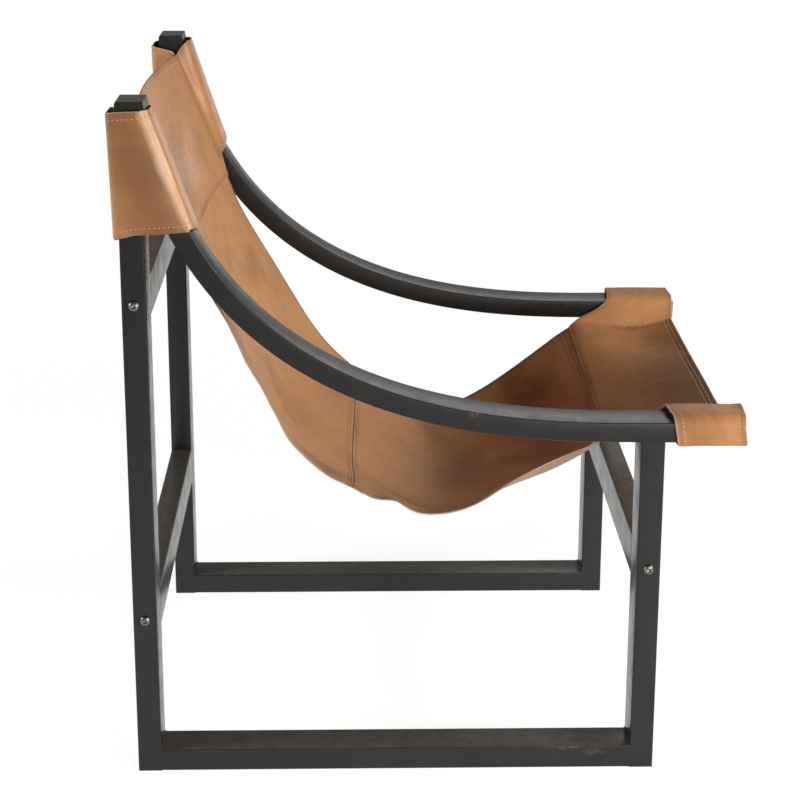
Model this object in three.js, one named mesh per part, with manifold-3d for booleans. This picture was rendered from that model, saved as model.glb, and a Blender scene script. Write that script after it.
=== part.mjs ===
// A leather sling lounge chair: two closed side frames of rectangular steel tube, three bolted
// stretchers, and a leather sling in four panels that hangs from sleeves on the posts and arms.
// The chair faces -Y, +Z is up, and all lengths are in millimetres.
import * as THREE from "three";
import { mergeVertices } from "three/addons/utils/BufferGeometryUtils.js";
import Module from "manifold-3d";

const wasm = await Module();
wasm.setup();

// Driving sizes of the frame.
const baseDepth = 660; // back of a rear post to front of a front leg
const frameWidth = 650; // outer face to outer face of the two side frames
const totalHeight = 860; // floor to the top of a post
const armHeight = 465; // floor to the level top of an arm
const armOverhang = 95; // arm ahead of the front leg
const tubeWidth = 55; // every side-frame tube, across the chair
const tubeDepth = 30; // posts, legs and rails, in the plane of the side frame
const armThickness = 25;
const tubeWall = 1.5;
const fitGap = 0.3; // between pieces that fit into or lie on one another
const cutOverrun = 5; // how far every cutting tool runs past the surface it cuts

// The bend of an arm, seen from the side.
const armLean = THREE.MathUtils.degToRad(10.5); // from upright, where the arm leaves the post's top
const armLevelLength = 15; // level stretch of the bend's start, behind the leg's front face
const armFrontPull = 174;
const armRearPull = 400;
const armTipDrop = 6; // the arm's thin tip stops this far below the post's top
const armSteps = 44;

// Caps, plugs and welds of the side frames.
const capHeight = 14; // solid cap on a post
const capBevelDepth = 1.5;
const capFlatHeight = 1;
const spigotLength = 10;
const spigotRoot = 1; // how far a spigot runs into its cap
const endCapThickness = 2;
const plugThickness = 3;
const weldLeg = 3;
const weldEndGap = 1;

// Stretchers and their bolts.
const stretcherHeight = 52;
const stretcherDepth = tubeDepth;
const upperStretcherDrop = 245; // centre below the post's top
const lowerStretcherCentre = 208; // above the floor
const frontStretcherCentre = 273;
const endPlateThickness = 5;
const boltDiameter = 8;
const boltHoleDiameter = 9;
const boltRun = 9; // bolt past the post's inner face
const headDiameter = 13;
const headHeight = 4.4;
const headEdgeHeight = 1.2;
const socketAcross = 5; // hexagon, across flats
const socketDepth = 2.6;
const domeTurn = THREE.MathUtils.degToRad(60); // from the head's edge up over its crown
const domeSteps = 5;
const roundSteps = 24;

// Leather.
const leather = 3;
const sleeveClearance = 1.2; // leather's inner face to the tube it is pulled against
const sleeveCornerRadius = 3;
const lipRadius = 1.5;
const seamInset = 11; // sling's sewn line, inward of the tube's inner face
const seamSetbackTop = 14; // and behind the sleeve's front, at a rear sleeve's top
const seamSetbackBottom = 4; // and at its bottom
const rearSleeveTopDrop = 14; // below the post's top
const slingTopDrop = 25.5; // the sling's own top edge, likewise
const rearSleeveLength = 149; // down the back of the post
const rearSleeveRise = 10; // lower edge, higher at the front
const rearSleeveInnerDrop = 18; // lower edge, lower on the inside
const backSlackTop = 7; // sleeve standing off behind the post
const backSlackBottom = 3;
const frontSleeveSlack = 2.5; // above and outside the arm
const frontSleeveRadius = 8;
const frontSleeveHang = 3; // sewn line below the arm
const hemInnerSetback = 3; // sleeve's front edge behind the arm's end, inside
const hemOuterReach = 4; // and ahead of it, outside
const sleeveReachAtSeam = 143; // rear edge of a front sleeve, behind the arm's end
const sleeveReachInside = 101;
const sleeveReachTop = 87;
const sleeveReachOutside = 80;
const sleeveReachUnder = 87; // the layer under the arm begins ahead of the leg

// How far the sling's middle hangs behind or below its edges.
const topBow = 23;
const sleeveBow = 35;
const gatherSag = 26;
const hemSag = 2;

// The free edges and the middle of the sling between its sleeves. Each pair is a share of the way
// forward from the rear sleeves' lower corners to the front sleeves, and a share of the height
// between the same two places, from the front one.
const rightEdgeShares = [
  [0.038, 0.679], [0.111, 0.39], [0.181, 0.089], [0.278, -0.2], [0.426, -0.348],
  [0.571, -0.436], [0.726, -0.294], [0.877, -0.137], [0.943, -0.073], [1, 0],
];
const leftEdgeShares = [
  [0.039, 0.756], [0.124, 0.435], [0.201, 0.165], [0.293, -0.121], [0.426, -0.346],
  [0.587, -0.494], [0.727, -0.402], [0.873, -0.187], [0.939, -0.08], [1, 0],
];
const middleShares = [
  [-0.022, 0.665], [0.058, 0.349], [0.128, 0.05], [0.229, -0.274], [0.383, -0.504],
  [0.58, -0.656], [0.781, -0.543], [0.936, -0.362], [0.985, -0.254], [1.022, -0.2],
];
const seamShares = [0.178, 0.51, 0.8725]; // cross seams, as shares of the sling's length
const slingRows = 54;
const slingColumns = 12;
const sleeveRows = 5;

const painted = new THREE.MeshStandardMaterial({ color: 0x3a3836, roughness: 0.55, metalness: 0.2 });
const capPaint = new THREE.MeshStandardMaterial({ color: 0x2c2b2a, roughness: 0.6, metalness: 0.1 });
const stainless = new THREE.MeshStandardMaterial({ color: 0xb5b2ac, roughness: 0.3, metalness: 1 });
const tan = new THREE.MeshStandardMaterial({ color: 0xb98a60, roughness: 0.45, metalness: 0 });
const tanSleeve = new THREE.MeshStandardMaterial({ color: 0xa97850, roughness: 0.4, metalness: 0 });

// Turns a closed mesh into a solid, and a solid back into a mesh.
function solidOf(geometry) {
  const bare = geometry.clone();
  bare.deleteAttribute("normal");
  bare.deleteAttribute("uv");
  const merged = mergeVertices(bare);
  const corners = merged.index.array;
  const faces = [];
  for (let face = 0; face < corners.length; face += 3) {
    const [a, b, c] = corners.slice(face, face + 3);
    if (a !== b && b !== c && c !== a) {
      faces.push(a, b, c);
    }
  }
  return new wasm.Manifold(new wasm.Mesh({
    numProp: 3,
    vertProperties: Float32Array.from(merged.attributes.position.array),
    triVerts: Uint32Array.from(faces),
  }));
}

function geometryOf(solid) {
  const mesh = solid.getMesh();
  const geometry = new THREE.BufferGeometry();
  geometry.setAttribute("position", new THREE.BufferAttribute(mesh.vertProperties, 3));
  geometry.setIndex(new THREE.BufferAttribute(mesh.triVerts, 1));
  return geometry;
}

function cut(geometry, ...tools) {
  return geometryOf(tools.reduce((solid, tool) => solid.subtract(solidOf(tool)), solidOf(geometry)));
}

function join(...geometries) {
  const [first, ...others] = geometries.map(solidOf);
  return geometryOf(others.reduce((solid, other) => solid.add(other), first));
}

function boxAt(sizes, centre) {
  return new THREE.BoxGeometry(...sizes).translate(...centre);
}

// A hollow tube with open ends, upright on its lower end.
function hollowTube(width, depth, length) {
  const outside = boxAt([width, depth, length], [0, 0, length / 2]);
  const bore = boxAt(
    [width - 2 * tubeWall, depth - 2 * tubeWall, length + 2 * cutOverrun],
    [0, 0, length / 2],
  );
  return cut(outside, bore);
}

// A cylinder along X, for holes and shanks.
function rodAlongX(diameter, length) {
  return new THREE.CylinderGeometry(diameter / 2, diameter / 2, length, roundSteps).rotateZ(Math.PI / 2);
}

// A hole right through a tube at a height above its lower end.
function boltHole(height) {
  return rodAlongX(boltHoleDiameter, tubeWidth + 2 * cutOverrun).translate(0, 0, height);
}

// Extrudes an outline drawn as [distance from the posts' back, height] across a tube's width.
function acrossTube(outline, width) {
  const shape = new THREE.Shape(outline.map(([forward, height]) => new THREE.Vector2(-forward, height)));
  const geometry = new THREE.ExtrudeGeometry(shape, { depth: width, bevelEnabled: false });
  return geometry.applyMatrix4(new THREE.Matrix4().set(
    0, 0, 1, -width / 2,
    1, 0, 0, 0,
    0, 1, 0, 0,
    0, 0, 0, 1,
  ));
}

// The arm's top line, from the post's top down and forward to the level stretch.
const armEnd = baseDepth + armOverhang;
const bendStart = baseDepth - armLevelLength;
const armBend = new THREE.CubicBezierCurve(
  new THREE.Vector2(tubeDepth, totalHeight),
  new THREE.Vector2(tubeDepth + armRearPull * Math.sin(armLean), totalHeight - armRearPull * Math.cos(armLean)),
  new THREE.Vector2(bendStart - armFrontPull, armHeight),
  new THREE.Vector2(bendStart, armHeight),
);

// How far the arm's front face lies from the posts' back, at a height above its level stretch.
function armFrontAt(height) {
  let low = 0;
  let high = 1;
  for (let step = 0; step < armSteps; step += 1) {
    const middle = (low + high) / 2;
    if (armBend.getPoint(middle).y > height) {
      low = middle;
    } else {
      high = middle;
    }
  }
  return armBend.getPoint(low).x;
}

// The arm's side outline between two depths below its top line.
function armOutline(upper, lower, end) {
  const top = [];
  const bottom = [];
  for (let step = 0; step <= armSteps; step += 1) {
    const point = armBend.getPoint(step / armSteps);
    const along = armBend.getTangent(step / armSteps);
    top.push([point.x + along.y * upper, point.y - along.x * upper]);
    bottom.push([point.x + along.y * lower, point.y - along.x * lower]);
  }
  const front = [[end, armHeight - upper], [end, armHeight - lower]];
  return [...top, ...front, ...bottom.reverse()];
}

function armGeometry() {
  const tubeEnd = armEnd - endCapThickness;
  const outside = acrossTube(armOutline(0, armThickness, tubeEnd), tubeWidth);
  const bore = acrossTube(
    armOutline(tubeWall, armThickness - tubeWall, tubeEnd + cutOverrun),
    tubeWidth - 2 * tubeWall,
  );
  const postSpace = boxAt(
    [frameWidth, baseDepth, 2 * totalHeight],
    [0, baseDepth / 2 - tubeDepth - fitGap, totalHeight],
  );
  const tipCut = armTipDrop + cutOverrun;
  const aboveTip = boxAt(
    [frameWidth, 2 * baseDepth, tipCut],
    [0, 0, totalHeight - armTipDrop + tipCut / 2],
  );
  return cut(outside, bore, postSpace, aboveTip);
}

// A plate or block with a spigot that slips into a tube's bore, standing on the spigot's side.
function withSpigot(cap, capDepth) {
  const spigot = boxAt(
    [tubeWidth - 2 * tubeWall - 2 * fitGap, capDepth - 2 * tubeWall - 2 * fitGap, spigotLength + spigotRoot],
    [0, -capDepth / 2, (spigotRoot - spigotLength) / 2],
  );
  return join(cap, spigot);
}

// The cap on a post, its back edge bevelled.
function postCapGeometry() {
  const outline = [
    [0, 0], [tubeDepth, 0], [tubeDepth, capHeight], [capBevelDepth, capHeight], [0, capFlatHeight],
  ];
  return withSpigot(acrossTube(outline, tubeWidth), tubeDepth);
}

// The flat cap on an arm's front end, facing +Z before it is turned to face forward.
function armCapGeometry() {
  const plate = boxAt(
    [tubeWidth, armThickness, endCapThickness],
    [0, -armThickness / 2, endCapThickness / 2],
  );
  return withSpigot(plate, armThickness);
}

// A fillet weld: a three-sided bar across the tube.
function weldGeometry() {
  return acrossTube([[0, 0], [weldLeg, 0], [0, weldLeg]], tubeWidth - 2 * weldEndGap);
}

// A button-head bolt along +X, its head's seat at X = 0.
function boltGeometry() {
  const shankLength = tubeWidth + boltRun;
  const radius = headDiameter / 2;
  const profile = [new THREE.Vector2(0, shankLength), new THREE.Vector2(boltDiameter / 2, shankLength)];
  profile.push(new THREE.Vector2(boltDiameter / 2, 0), new THREE.Vector2(radius, 0));
  for (let step = 0; step <= domeSteps; step += 1) {
    const turn = (step / domeSteps) * domeTurn;
    const up = (headHeight - headEdgeHeight) * (Math.sin(turn) / Math.sin(domeTurn));
    profile.push(new THREE.Vector2(radius * Math.cos(turn), -headEdgeHeight - up));
  }
  profile.push(new THREE.Vector2(0, -headHeight));
  const body = new THREE.LatheGeometry(profile.reverse(), roundSteps).rotateZ(-Math.PI / 2);
  const socketRadius = socketAcross / Math.sqrt(3);
  const hexagon = new THREE.CylinderGeometry(socketRadius, socketRadius, socketDepth + cutOverrun, 6)
    .rotateZ(Math.PI / 2)
    .translate(socketDepth - headHeight - (socketDepth + cutOverrun) / 2, 0, 0);
  return cut(outward(body), hexagon);
}

// Turns every face outward, by the sign of the volume that the faces enclose.
function outward(geometry) {
  const position = geometry.attributes.position;
  const index = geometry.index.array;
  const [a, b, c] = [new THREE.Vector3(), new THREE.Vector3(), new THREE.Vector3()];
  let volume = 0;
  for (let face = 0; face < index.length; face += 3) {
    a.fromBufferAttribute(position, index[face]);
    b.fromBufferAttribute(position, index[face + 1]);
    c.fromBufferAttribute(position, index[face + 2]);
    volume += a.dot(b.cross(c));
  }
  if (volume < 0) {
    geometry.setIndex([...index].reverse());
  }
  return geometry;
}

// Closes two facing grids of points into one skin. In a ring, each row's last point meets its first.
function closedSkin(upper, lower, isRing) {
  const rows = upper.length;
  const columns = upper[0].length;
  const positions = [...upper.flat(), ...lower.flat()].flatMap((point) => point.toArray());
  const lowerStart = rows * columns;
  const faces = [];
  const quad = (a, b, c, d) => faces.push(a, b, c, a, c, d);
  const lastColumn = isRing ? columns : columns - 1;
  for (let row = 0; row < rows - 1; row += 1) {
    for (let column = 0; column < lastColumn; column += 1) {
      const next = (column + 1) % columns;
      const corners = [row * columns + column, row * columns + next];
      const beyond = [(row + 1) * columns + next, (row + 1) * columns + column];
      quad(...corners, ...beyond);
      const [a, b, c, d] = [...corners, ...beyond].map((corner) => lowerStart + corner);
      faces.push(a, c, b, a, d, c);
    }
  }
  for (let column = 0; column < lastColumn; column += 1) {
    const next = (column + 1) % columns;
    quad(next, column, lowerStart + column, lowerStart + next);
    const far = (rows - 1) * columns;
    quad(far + column, far + next, lowerStart + far + next, lowerStart + far + column);
  }
  for (let row = 0; row < rows - 1 && !isRing; row += 1) {
    const near = row * columns;
    const beyond = (row + 1) * columns;
    quad(near, beyond, lowerStart + beyond, lowerStart + near);
    const [nearEnd, beyondEnd] = [near + columns - 1, beyond + columns - 1];
    quad(beyondEnd, nearEnd, lowerStart + nearEnd, lowerStart + beyondEnd);
  }
  const geometry = new THREE.BufferGeometry();
  geometry.setAttribute("position", new THREE.Float32BufferAttribute(positions, 3));
  geometry.setIndex(faces);
  return outward(geometry);
}

// A closed outline with round corners, from corners given as [x, y, radius], and the same outline
// grown outward by a thickness.
function roundedLoops(corners, thickness) {
  const arcSteps = 4;
  const inner = [];
  const outer = [];
  corners.forEach(([x, y, radius], place) => {
    const before = corners[(place + corners.length - 1) % corners.length];
    const after = corners[(place + 1) % corners.length];
    const corner = new THREE.Vector2(x, y);
    const arriving = corner.clone().sub(new THREE.Vector2(before[0], before[1])).normalize();
    const leaving = new THREE.Vector2(after[0], after[1]).sub(corner).normalize();
    const turn = Math.atan2(arriving.cross(leaving), arriving.dot(leaving));
    const side = Math.sign(turn);
    const setback = radius * Math.tan(Math.abs(turn) / 2);
    const start = corner.clone().addScaledVector(arriving, -setback);
    const toCentre = new THREE.Vector2(-arriving.y, arriving.x).multiplyScalar(side);
    const centre = start.clone().addScaledVector(toCentre, radius);
    for (let step = 0; step <= arcSteps; step += 1) {
      const spoke = toCentre.clone().negate().rotateAround(new THREE.Vector2(), (turn * step) / arcSteps);
      inner.push(centre.clone().addScaledVector(spoke, radius));
      outer.push(centre.clone().addScaledVector(spoke, radius + thickness));
    }
  });
  return { inner, outer };
}

// Places inside a leather sleeve. Across is measured inward from the side frame's outer face.
const seamAcross = tubeWidth + seamInset;
const rearSleeveTop = totalHeight - rearSleeveTopDrop;
const rearSleeveBottom = rearSleeveTop - rearSleeveLength;
const slingTop = totalHeight - slingTopDrop;

// How far up a rear sleeve a height is, as a share of the sleeve's length down the post.
function rearShare(height) {
  return (height - rearSleeveBottom) / (rearSleeveTop - rearSleeveBottom);
}

// How far forward a rear sleeve's front lies. Its leather spans the arm's hollow bend straight.
function sleeveFrontAt(height) {
  const ends = [armFrontAt(rearSleeveBottom), armFrontAt(rearSleeveTop)];
  return Math.max(armFrontAt(height), THREE.MathUtils.lerp(...ends, rearShare(height)));
}

function rearSeamAt(height) {
  const setback = THREE.MathUtils.lerp(seamSetbackBottom, seamSetbackTop, rearShare(height));
  return sleeveFrontAt(height) - setback;
}

// A rear sleeve's cross-section, level with the floor, as [forward, across].
function rearSection(height) {
  const slack = THREE.MathUtils.lerp(backSlackBottom, backSlackTop, rearShare(height));
  const front = sleeveFrontAt(height);
  const back = -slack - sleeveClearance;
  return roundedLoops([
    [back, -sleeveClearance, 2 * sleeveCornerRadius],
    [front + sleeveClearance, -sleeveClearance, sleeveCornerRadius],
    [front + sleeveClearance, tubeWidth + sleeveClearance, sleeveCornerRadius],
    [rearSeamAt(height), seamAcross, lipRadius],
    [back, tubeWidth + sleeveClearance, 2 * sleeveCornerRadius],
  ], leather);
}

// Height of a rear sleeve's lower edge at a place in its section.
function rearLowerEdge(forward, across) {
  const front = armFrontAt(rearSleeveBottom);
  const crossShare = across / tubeWidth;
  return rearSleeveBottom + (forward / front) * (rearSleeveRise - rearSleeveInnerDrop * crossShare);
}

function rearSleeveGeometry(side) {
  const guide = rearSection(rearSleeveBottom).inner;
  const grids = { inner: [], outer: [] };
  for (let row = 0; row <= sleeveRows; row += 1) {
    const heights = guide.map((point) => (
      THREE.MathUtils.lerp(rearLowerEdge(point.x, point.y), rearSleeveTop, row / sleeveRows)
    ));
    for (const skin of ["inner", "outer"]) {
      grids[skin].push(heights.map((height, place) => {
        const point = rearSection(height)[skin][place];
        return new THREE.Vector3(side * (frameWidth / 2 - point.y), -point.x, height);
      }));
    }
  }
  return closedSkin(grids.outer, grids.inner, true);
}

// A front sleeve's cross-section, square to the arm, as [across, height].
const seamHeight = armHeight - armThickness - frontSleeveHang;
const slackOutside = sleeveClearance + frontSleeveSlack;
const frontCorners = [
  [tubeWidth + sleeveClearance, armHeight + slackOutside, sleeveCornerRadius],
  [-slackOutside, armHeight + slackOutside, frontSleeveRadius],
  [-slackOutside, armHeight - armThickness - sleeveClearance, sleeveCornerRadius],
  [seamAcross, seamHeight, lipRadius],
];
const frontLoops = roundedLoops(frontCorners, leather);
const frontReaches = [
  [sleeveReachInside, sleeveReachInside],
  [sleeveReachTop, sleeveReachTop],
  [sleeveReachOutside, sleeveReachOutside],
  [sleeveReachUnder, sleeveReachAtSeam],
];
const hemInside = armEnd - hemInnerSetback;
const hemOutside = armEnd + hemOuterReach;
const frontEnds = [hemInside, hemOutside, hemOutside, hemInside];

function frontSleeveGeometry(side) {
  const cornerPoints = frontLoops.inner.length / frontCorners.length;
  const grids = { inner: [], outer: [] };
  for (let row = 0; row <= sleeveRows; row += 1) {
    for (const skin of ["inner", "outer"]) {
      grids[skin].push(frontLoops[skin].map((point, place) => {
        const corner = Math.floor(place / cornerPoints);
        const turnShare = (place % cornerPoints) / (cornerPoints - 1);
        const start = armEnd - THREE.MathUtils.lerp(...frontReaches[corner], turnShare);
        const forward = THREE.MathUtils.lerp(start, frontEnds[corner], row / sleeveRows);
        return new THREE.Vector3(side * (frameWidth / 2 - point.x), -forward, point.y);
      }));
    }
  }
  return closedSkin(grids.outer, grids.inner, true);
}

// The sling. It runs between the sewn lines, from the top edge of the back to the front hem.
const slingHalf = frameWidth / 2 - seamAcross - leather - fitGap;
const rearHang = [rearSeamAt(rearSleeveBottom), rearSleeveBottom];
const frontHang = [armEnd - sleeveReachAtSeam, seamHeight];

function seamPoint(height) {
  return [rearSeamAt(height), height];
}

function slackened([forward, height], bow) {
  return [forward - bow * Math.cos(armLean), height - bow * Math.sin(armLean)];
}

// Places between the two pairs of sleeves, from a table of shares.
function between(shares) {
  return shares.map(([forwardShare, heightShare]) => [
    THREE.MathUtils.lerp(rearHang[0], frontHang[0], forwardShare),
    THREE.MathUtils.lerp(frontHang[1], rearHang[1], heightShare),
  ]);
}

// One line of the sling from its top edge to its hem, hanging slack by the named amounts.
function slingLine(across, shares, slack) {
  const sleeveMiddle = (slingTop + rearSleeveBottom) / 2;
  const places = [
    slackened(seamPoint(slingTop), slack.top),
    slackened(seamPoint(sleeveMiddle), (slack.top + slack.sleeve) / 2),
    slackened(rearHang, slack.sleeve),
    ...between(shares),
    [(frontHang[0] + hemInside) / 2, seamHeight - slack.gather],
    [hemInside, seamHeight - slack.hem],
  ];
  const points = places.map(([forward, height]) => new THREE.Vector3(across, -forward, height));
  return new THREE.CatmullRomCurve3(points, false, "centripetal");
}

const taut = { top: 0, sleeve: 0, gather: 0, hem: 0 };
const hanging = { top: topBow, sleeve: sleeveBow, gather: gatherSag, hem: hemSag };
const rightLine = slingLine(-slingHalf, rightEdgeShares, taut);
const leftLine = slingLine(slingHalf, leftEdgeShares, taut);
const middleLine = slingLine(0, middleShares, hanging);

// A point of the sling and the direction through the leather there, towards the sitter. The share
// runs down the sling's length, and across runs from -1 at the right edge to 1 at the left. Each
// cross-section is a parabola through the two edges and the middle.
function slingAt(share, across) {
  const place = middleLine.getUtoTmapping(share);
  const blend = (kind) => {
    const right = rightLine[kind](place);
    const left = leftLine[kind](place);
    const middle = middleLine[kind](place);
    const chord = right.clone().lerp(left, (across + 1) / 2);
    const drop = middle.sub(right.clone().lerp(left, 1 / 2));
    return chord.addScaledVector(drop, 1 - across * across);
  };
  const along = blend("getTangent");
  return { point: blend("getPoint"), through: new THREE.Vector3(0, along.z, -along.y).normalize() };
}

// A panel between two rows of the sling. An upper panel lies on its neighbours at the lapped seams.
function panelGeometry(firstRow, lastRow, isUpper) {
  const level = ((leather + fitGap) / 2) * (isUpper ? 1 : -1);
  const top = [];
  const bottom = [];
  for (let row = firstRow; row <= lastRow; row += 1) {
    const places = Array.from({ length: slingColumns + 1 }, (_, column) => (
      slingAt(row / slingRows, (2 * column) / slingColumns - 1)
    ));
    top.push(places.map(({ point, through }) => point.clone().addScaledVector(through, level + leather / 2)));
    bottom.push(places.map(({ point, through }) => point.clone().addScaledVector(through, level - leather / 2)));
  }
  return closedSkin(top, bottom, false);
}

// The assembly.
function named(name, geometry, material, x, y, z) {
  const mesh = new THREE.Mesh(geometry, material);
  mesh.name = name;
  mesh.position.set(x, y, z);
  return mesh;
}

function turned(mesh, axis, angle) {
  mesh.rotation[axis] = angle;
  return mesh;
}

const quarterTurn = Math.PI / 2;
const halfTurn = Math.PI;
const upperStretcherCentre = totalHeight - upperStretcherDrop;
const postHoles = [boltHole(upperStretcherCentre), boltHole(lowerStretcherCentre)];
const postTube = cut(hollowTube(tubeWidth, tubeDepth, totalHeight - capHeight), ...postHoles);
const legTube = cut(hollowTube(tubeWidth, tubeDepth, armHeight - armThickness), boltHole(frontStretcherCentre));
const railTube = hollowTube(tubeWidth, tubeDepth, baseDepth - 2 * tubeDepth);
const plugPlate = boxAt(
  [tubeWidth - 2 * tubeWall - 2 * fitGap, tubeDepth - 2 * tubeWall - 2 * fitGap, plugThickness],
  [0, 0, plugThickness / 2],
);
const armTube = armGeometry();
const armCap = armCapGeometry();
const postCap = postCapGeometry();
const weldBar = weldGeometry();
const bolt = boltGeometry();

const postMiddle = -tubeDepth / 2;
const legMiddle = -(baseDepth - tubeDepth / 2);

function sideFrame(prefix, side) {
  const frame = new THREE.Group();
  frame.position.x = side * (frameWidth - tubeWidth) / 2;
  frame.add(
    named(`${prefix}_rear_post`, postTube, painted, 0, postMiddle, 0),
    named(`${prefix}_front_leg`, legTube, painted, 0, legMiddle, 0),
    turned(named(`${prefix}_floor_rail`, railTube, painted, 0, -tubeDepth, tubeDepth / 2), "x", quarterTurn),
    named(`${prefix}_arm`, armTube, painted, 0, 0, 0),
    named(`${prefix}_post_cap`, postCap, capPaint, 0, 0, totalHeight - capHeight),
    turned(named(`${prefix}_arm_cap`, armCap, capPaint, 0, endCapThickness - armEnd, armHeight), "x", quarterTurn),
    named(`${prefix}_post_plug`, plugPlate, capPaint, 0, postMiddle, 0),
    named(`${prefix}_leg_plug`, plugPlate, capPaint, 0, legMiddle, 0),
    named(`${prefix}_rear_weld`, weldBar, painted, 0, -tubeDepth, tubeDepth),
    turned(named(`${prefix}_front_weld`, weldBar, painted, 0, tubeDepth - baseDepth, tubeDepth), "z", halfTurn),
  );
  return frame;
}

const stretcherLength = frameWidth - 2 * tubeWidth;
const stretcherTube = hollowTube(stretcherHeight, stretcherDepth, stretcherLength);
const endPlate = cut(
  boxAt(
    [
      endPlateThickness,
      stretcherDepth - 2 * tubeWall - 2 * fitGap,
      stretcherHeight - 2 * tubeWall - 2 * fitGap,
    ],
    [0, 0, 0],
  ),
  rodAlongX(boltDiameter + 2 * fitGap, endPlateThickness + 2 * cutOverrun),
);

function stretcher(name, y, z) {
  const group = new THREE.Group();
  group.position.set(0, y, z);
  group.add(turned(named(name, stretcherTube, painted, -stretcherLength / 2, 0, 0), "y", quarterTurn));
  for (const [prefix, side] of sides) {
    const plateAt = side * (stretcherLength - endPlateThickness) / 2;
    group.add(named(`${prefix}_${name}_plate`, endPlate, painted, plateAt, 0, 0));
    const screw = named(`${prefix}_${name}_bolt`, bolt, stainless, side * frameWidth / 2, 0, 0);
    group.add(turned(screw, "z", side < 0 ? 0 : halfTurn));
  }
  return group;
}

function slingPanels() {
  const names = ["back_panel", "lumbar_panel", "seat_panel", "front_panel"];
  const seamRows = [0, ...seamShares.map((share) => Math.round(share * slingRows)), slingRows];
  return names.map((name, place) => {
    const lastRow = Math.min(seamRows[place + 1] + 1, slingRows);
    const geometry = panelGeometry(seamRows[place], lastRow, place % 2 === 1);
    return named(`sling_${name}`, geometry, tan, 0, 0, 0);
  });
}

const sides = [["right", -1], ["left", 1]];
const chair = new THREE.Group();
for (const [prefix, side] of sides) {
  chair.add(
    sideFrame(prefix, side),
    named(`${prefix}_rear_sleeve`, rearSleeveGeometry(side), tanSleeve, 0, 0, 0),
    named(`${prefix}_front_sleeve`, frontSleeveGeometry(side), tanSleeve, 0, 0, 0),
  );
}
chair.add(
  stretcher("upper_stretcher", postMiddle, upperStretcherCentre),
  stretcher("lower_stretcher", postMiddle, lowerStretcherCentre),
  stretcher("front_stretcher", legMiddle, frontStretcherCentre),
  ...slingPanels(),
);

// The origin lies on the floor, under the middle of the whole chair.
chair.position.y = -new THREE.Box3().setFromObject(chair).getCenter(new THREE.Vector3()).y;

export default chair;
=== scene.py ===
# %% [markdown]
# # A leather sling lounge chair
#
# The chair is a black steel frame and one long sling of tan saddle leather. The frame arrives
# finished from the CAD model, in metres, with the floor at zero and the sitter facing -Y. This
# lesson dresses it: it replaces the square CAD tubes by tubes with rolled corners, and the plain
# CAD leather by leather that wraps, laps, sags and is stitched.

import bpy
import numpy as np
from mathutils import Matrix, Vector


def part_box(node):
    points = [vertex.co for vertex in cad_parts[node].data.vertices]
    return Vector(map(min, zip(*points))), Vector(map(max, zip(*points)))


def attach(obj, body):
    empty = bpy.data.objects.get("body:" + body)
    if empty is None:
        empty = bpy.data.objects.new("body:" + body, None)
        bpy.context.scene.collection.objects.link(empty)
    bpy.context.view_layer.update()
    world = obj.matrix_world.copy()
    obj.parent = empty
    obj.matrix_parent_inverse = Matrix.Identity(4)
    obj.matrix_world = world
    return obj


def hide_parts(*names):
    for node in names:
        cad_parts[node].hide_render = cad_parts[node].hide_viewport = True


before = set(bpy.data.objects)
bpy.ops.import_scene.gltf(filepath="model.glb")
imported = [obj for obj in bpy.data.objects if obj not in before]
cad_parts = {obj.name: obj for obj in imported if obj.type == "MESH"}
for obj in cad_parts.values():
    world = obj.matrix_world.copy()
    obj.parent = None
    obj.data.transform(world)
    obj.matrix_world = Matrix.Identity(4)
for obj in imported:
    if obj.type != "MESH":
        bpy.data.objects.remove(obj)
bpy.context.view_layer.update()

# %% [markdown]
# ## The chair's sizes
#
# Every surface below is drawn in the chair's own terms: how far across, how far forward from the
# back of the posts, and how high. The CAD model says where the posts' back is, so that nothing has
# to be fitted by eye.

# %% Sizes, in metres
frame_width = 0.650
base_depth = 0.660
total_height = 0.860
arm_height = 0.465
arm_overhang = 0.095
tube_width = 0.055
tube_depth = 0.030
arm_thickness = 0.025
tube_wall = 0.0015
corner_radius = 0.002
cap_height = 0.014
leather = 0.0026
sleeve_clearance = 0.0014

arm_end = base_depth + arm_overhang
half_width = frame_width / 2
post_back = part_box("right_rear_post")[1][1]
print("back of the posts at y =", round(post_back, 4))


def placed(across, forward, height):
    """Points from how far across, forward from the posts' back, and high they are."""
    return np.stack(np.broadcast_arrays(across, post_back - forward, height), axis=-1)


# %% [markdown]
# ## From grids of points to pieces
#
# A mesh is points and faces. Nearly every piece here is a grid of points worked out with numpy, so
# one helper numbers the faces between neighbouring points, and another hands points and faces to
# Blender. On leather a UV map named "place" keeps each point's distances along the hide in metres,
# so that grain and marks have their real size.


# %% Helpers for grids
def grid_faces(rows, columns, is_ring=False):
    """Corner numbers of the faces of a grid, row by row. In a ring the last column meets the first."""
    row, column = np.meshgrid(
        np.arange(rows - 1), np.arange(columns if is_ring else columns - 1), indexing="ij"
    )
    beside = (column + 1) % columns
    corners = [
        row * columns + column,
        (row + 1) * columns + column,
        (row + 1) * columns + beside,
        row * columns + beside,
    ]
    return np.stack(corners, axis=-1).reshape(-1, 4)


def unit(vectors):
    """Vectors divided by their lengths."""
    return vectors / np.maximum(np.linalg.norm(vectors, axis=-1, keepdims=True), 1e-12)


def normals_of(grid):
    """Unit normals of a grid: the cross product of the steps down the columns and along the rows."""
    return unit(np.cross(np.gradient(grid, axis=0), np.gradient(grid, axis=1)))


def lengths_along(points, axis):
    """Distance from the first point to each point, summed along one axis of a grid."""
    steps = np.linalg.norm(np.diff(points, axis=axis), axis=-1)
    start = np.zeros_like(np.take(steps, [0], axis=axis))
    return np.cumsum(np.concatenate([start, steps], axis=axis), axis=axis)


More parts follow.
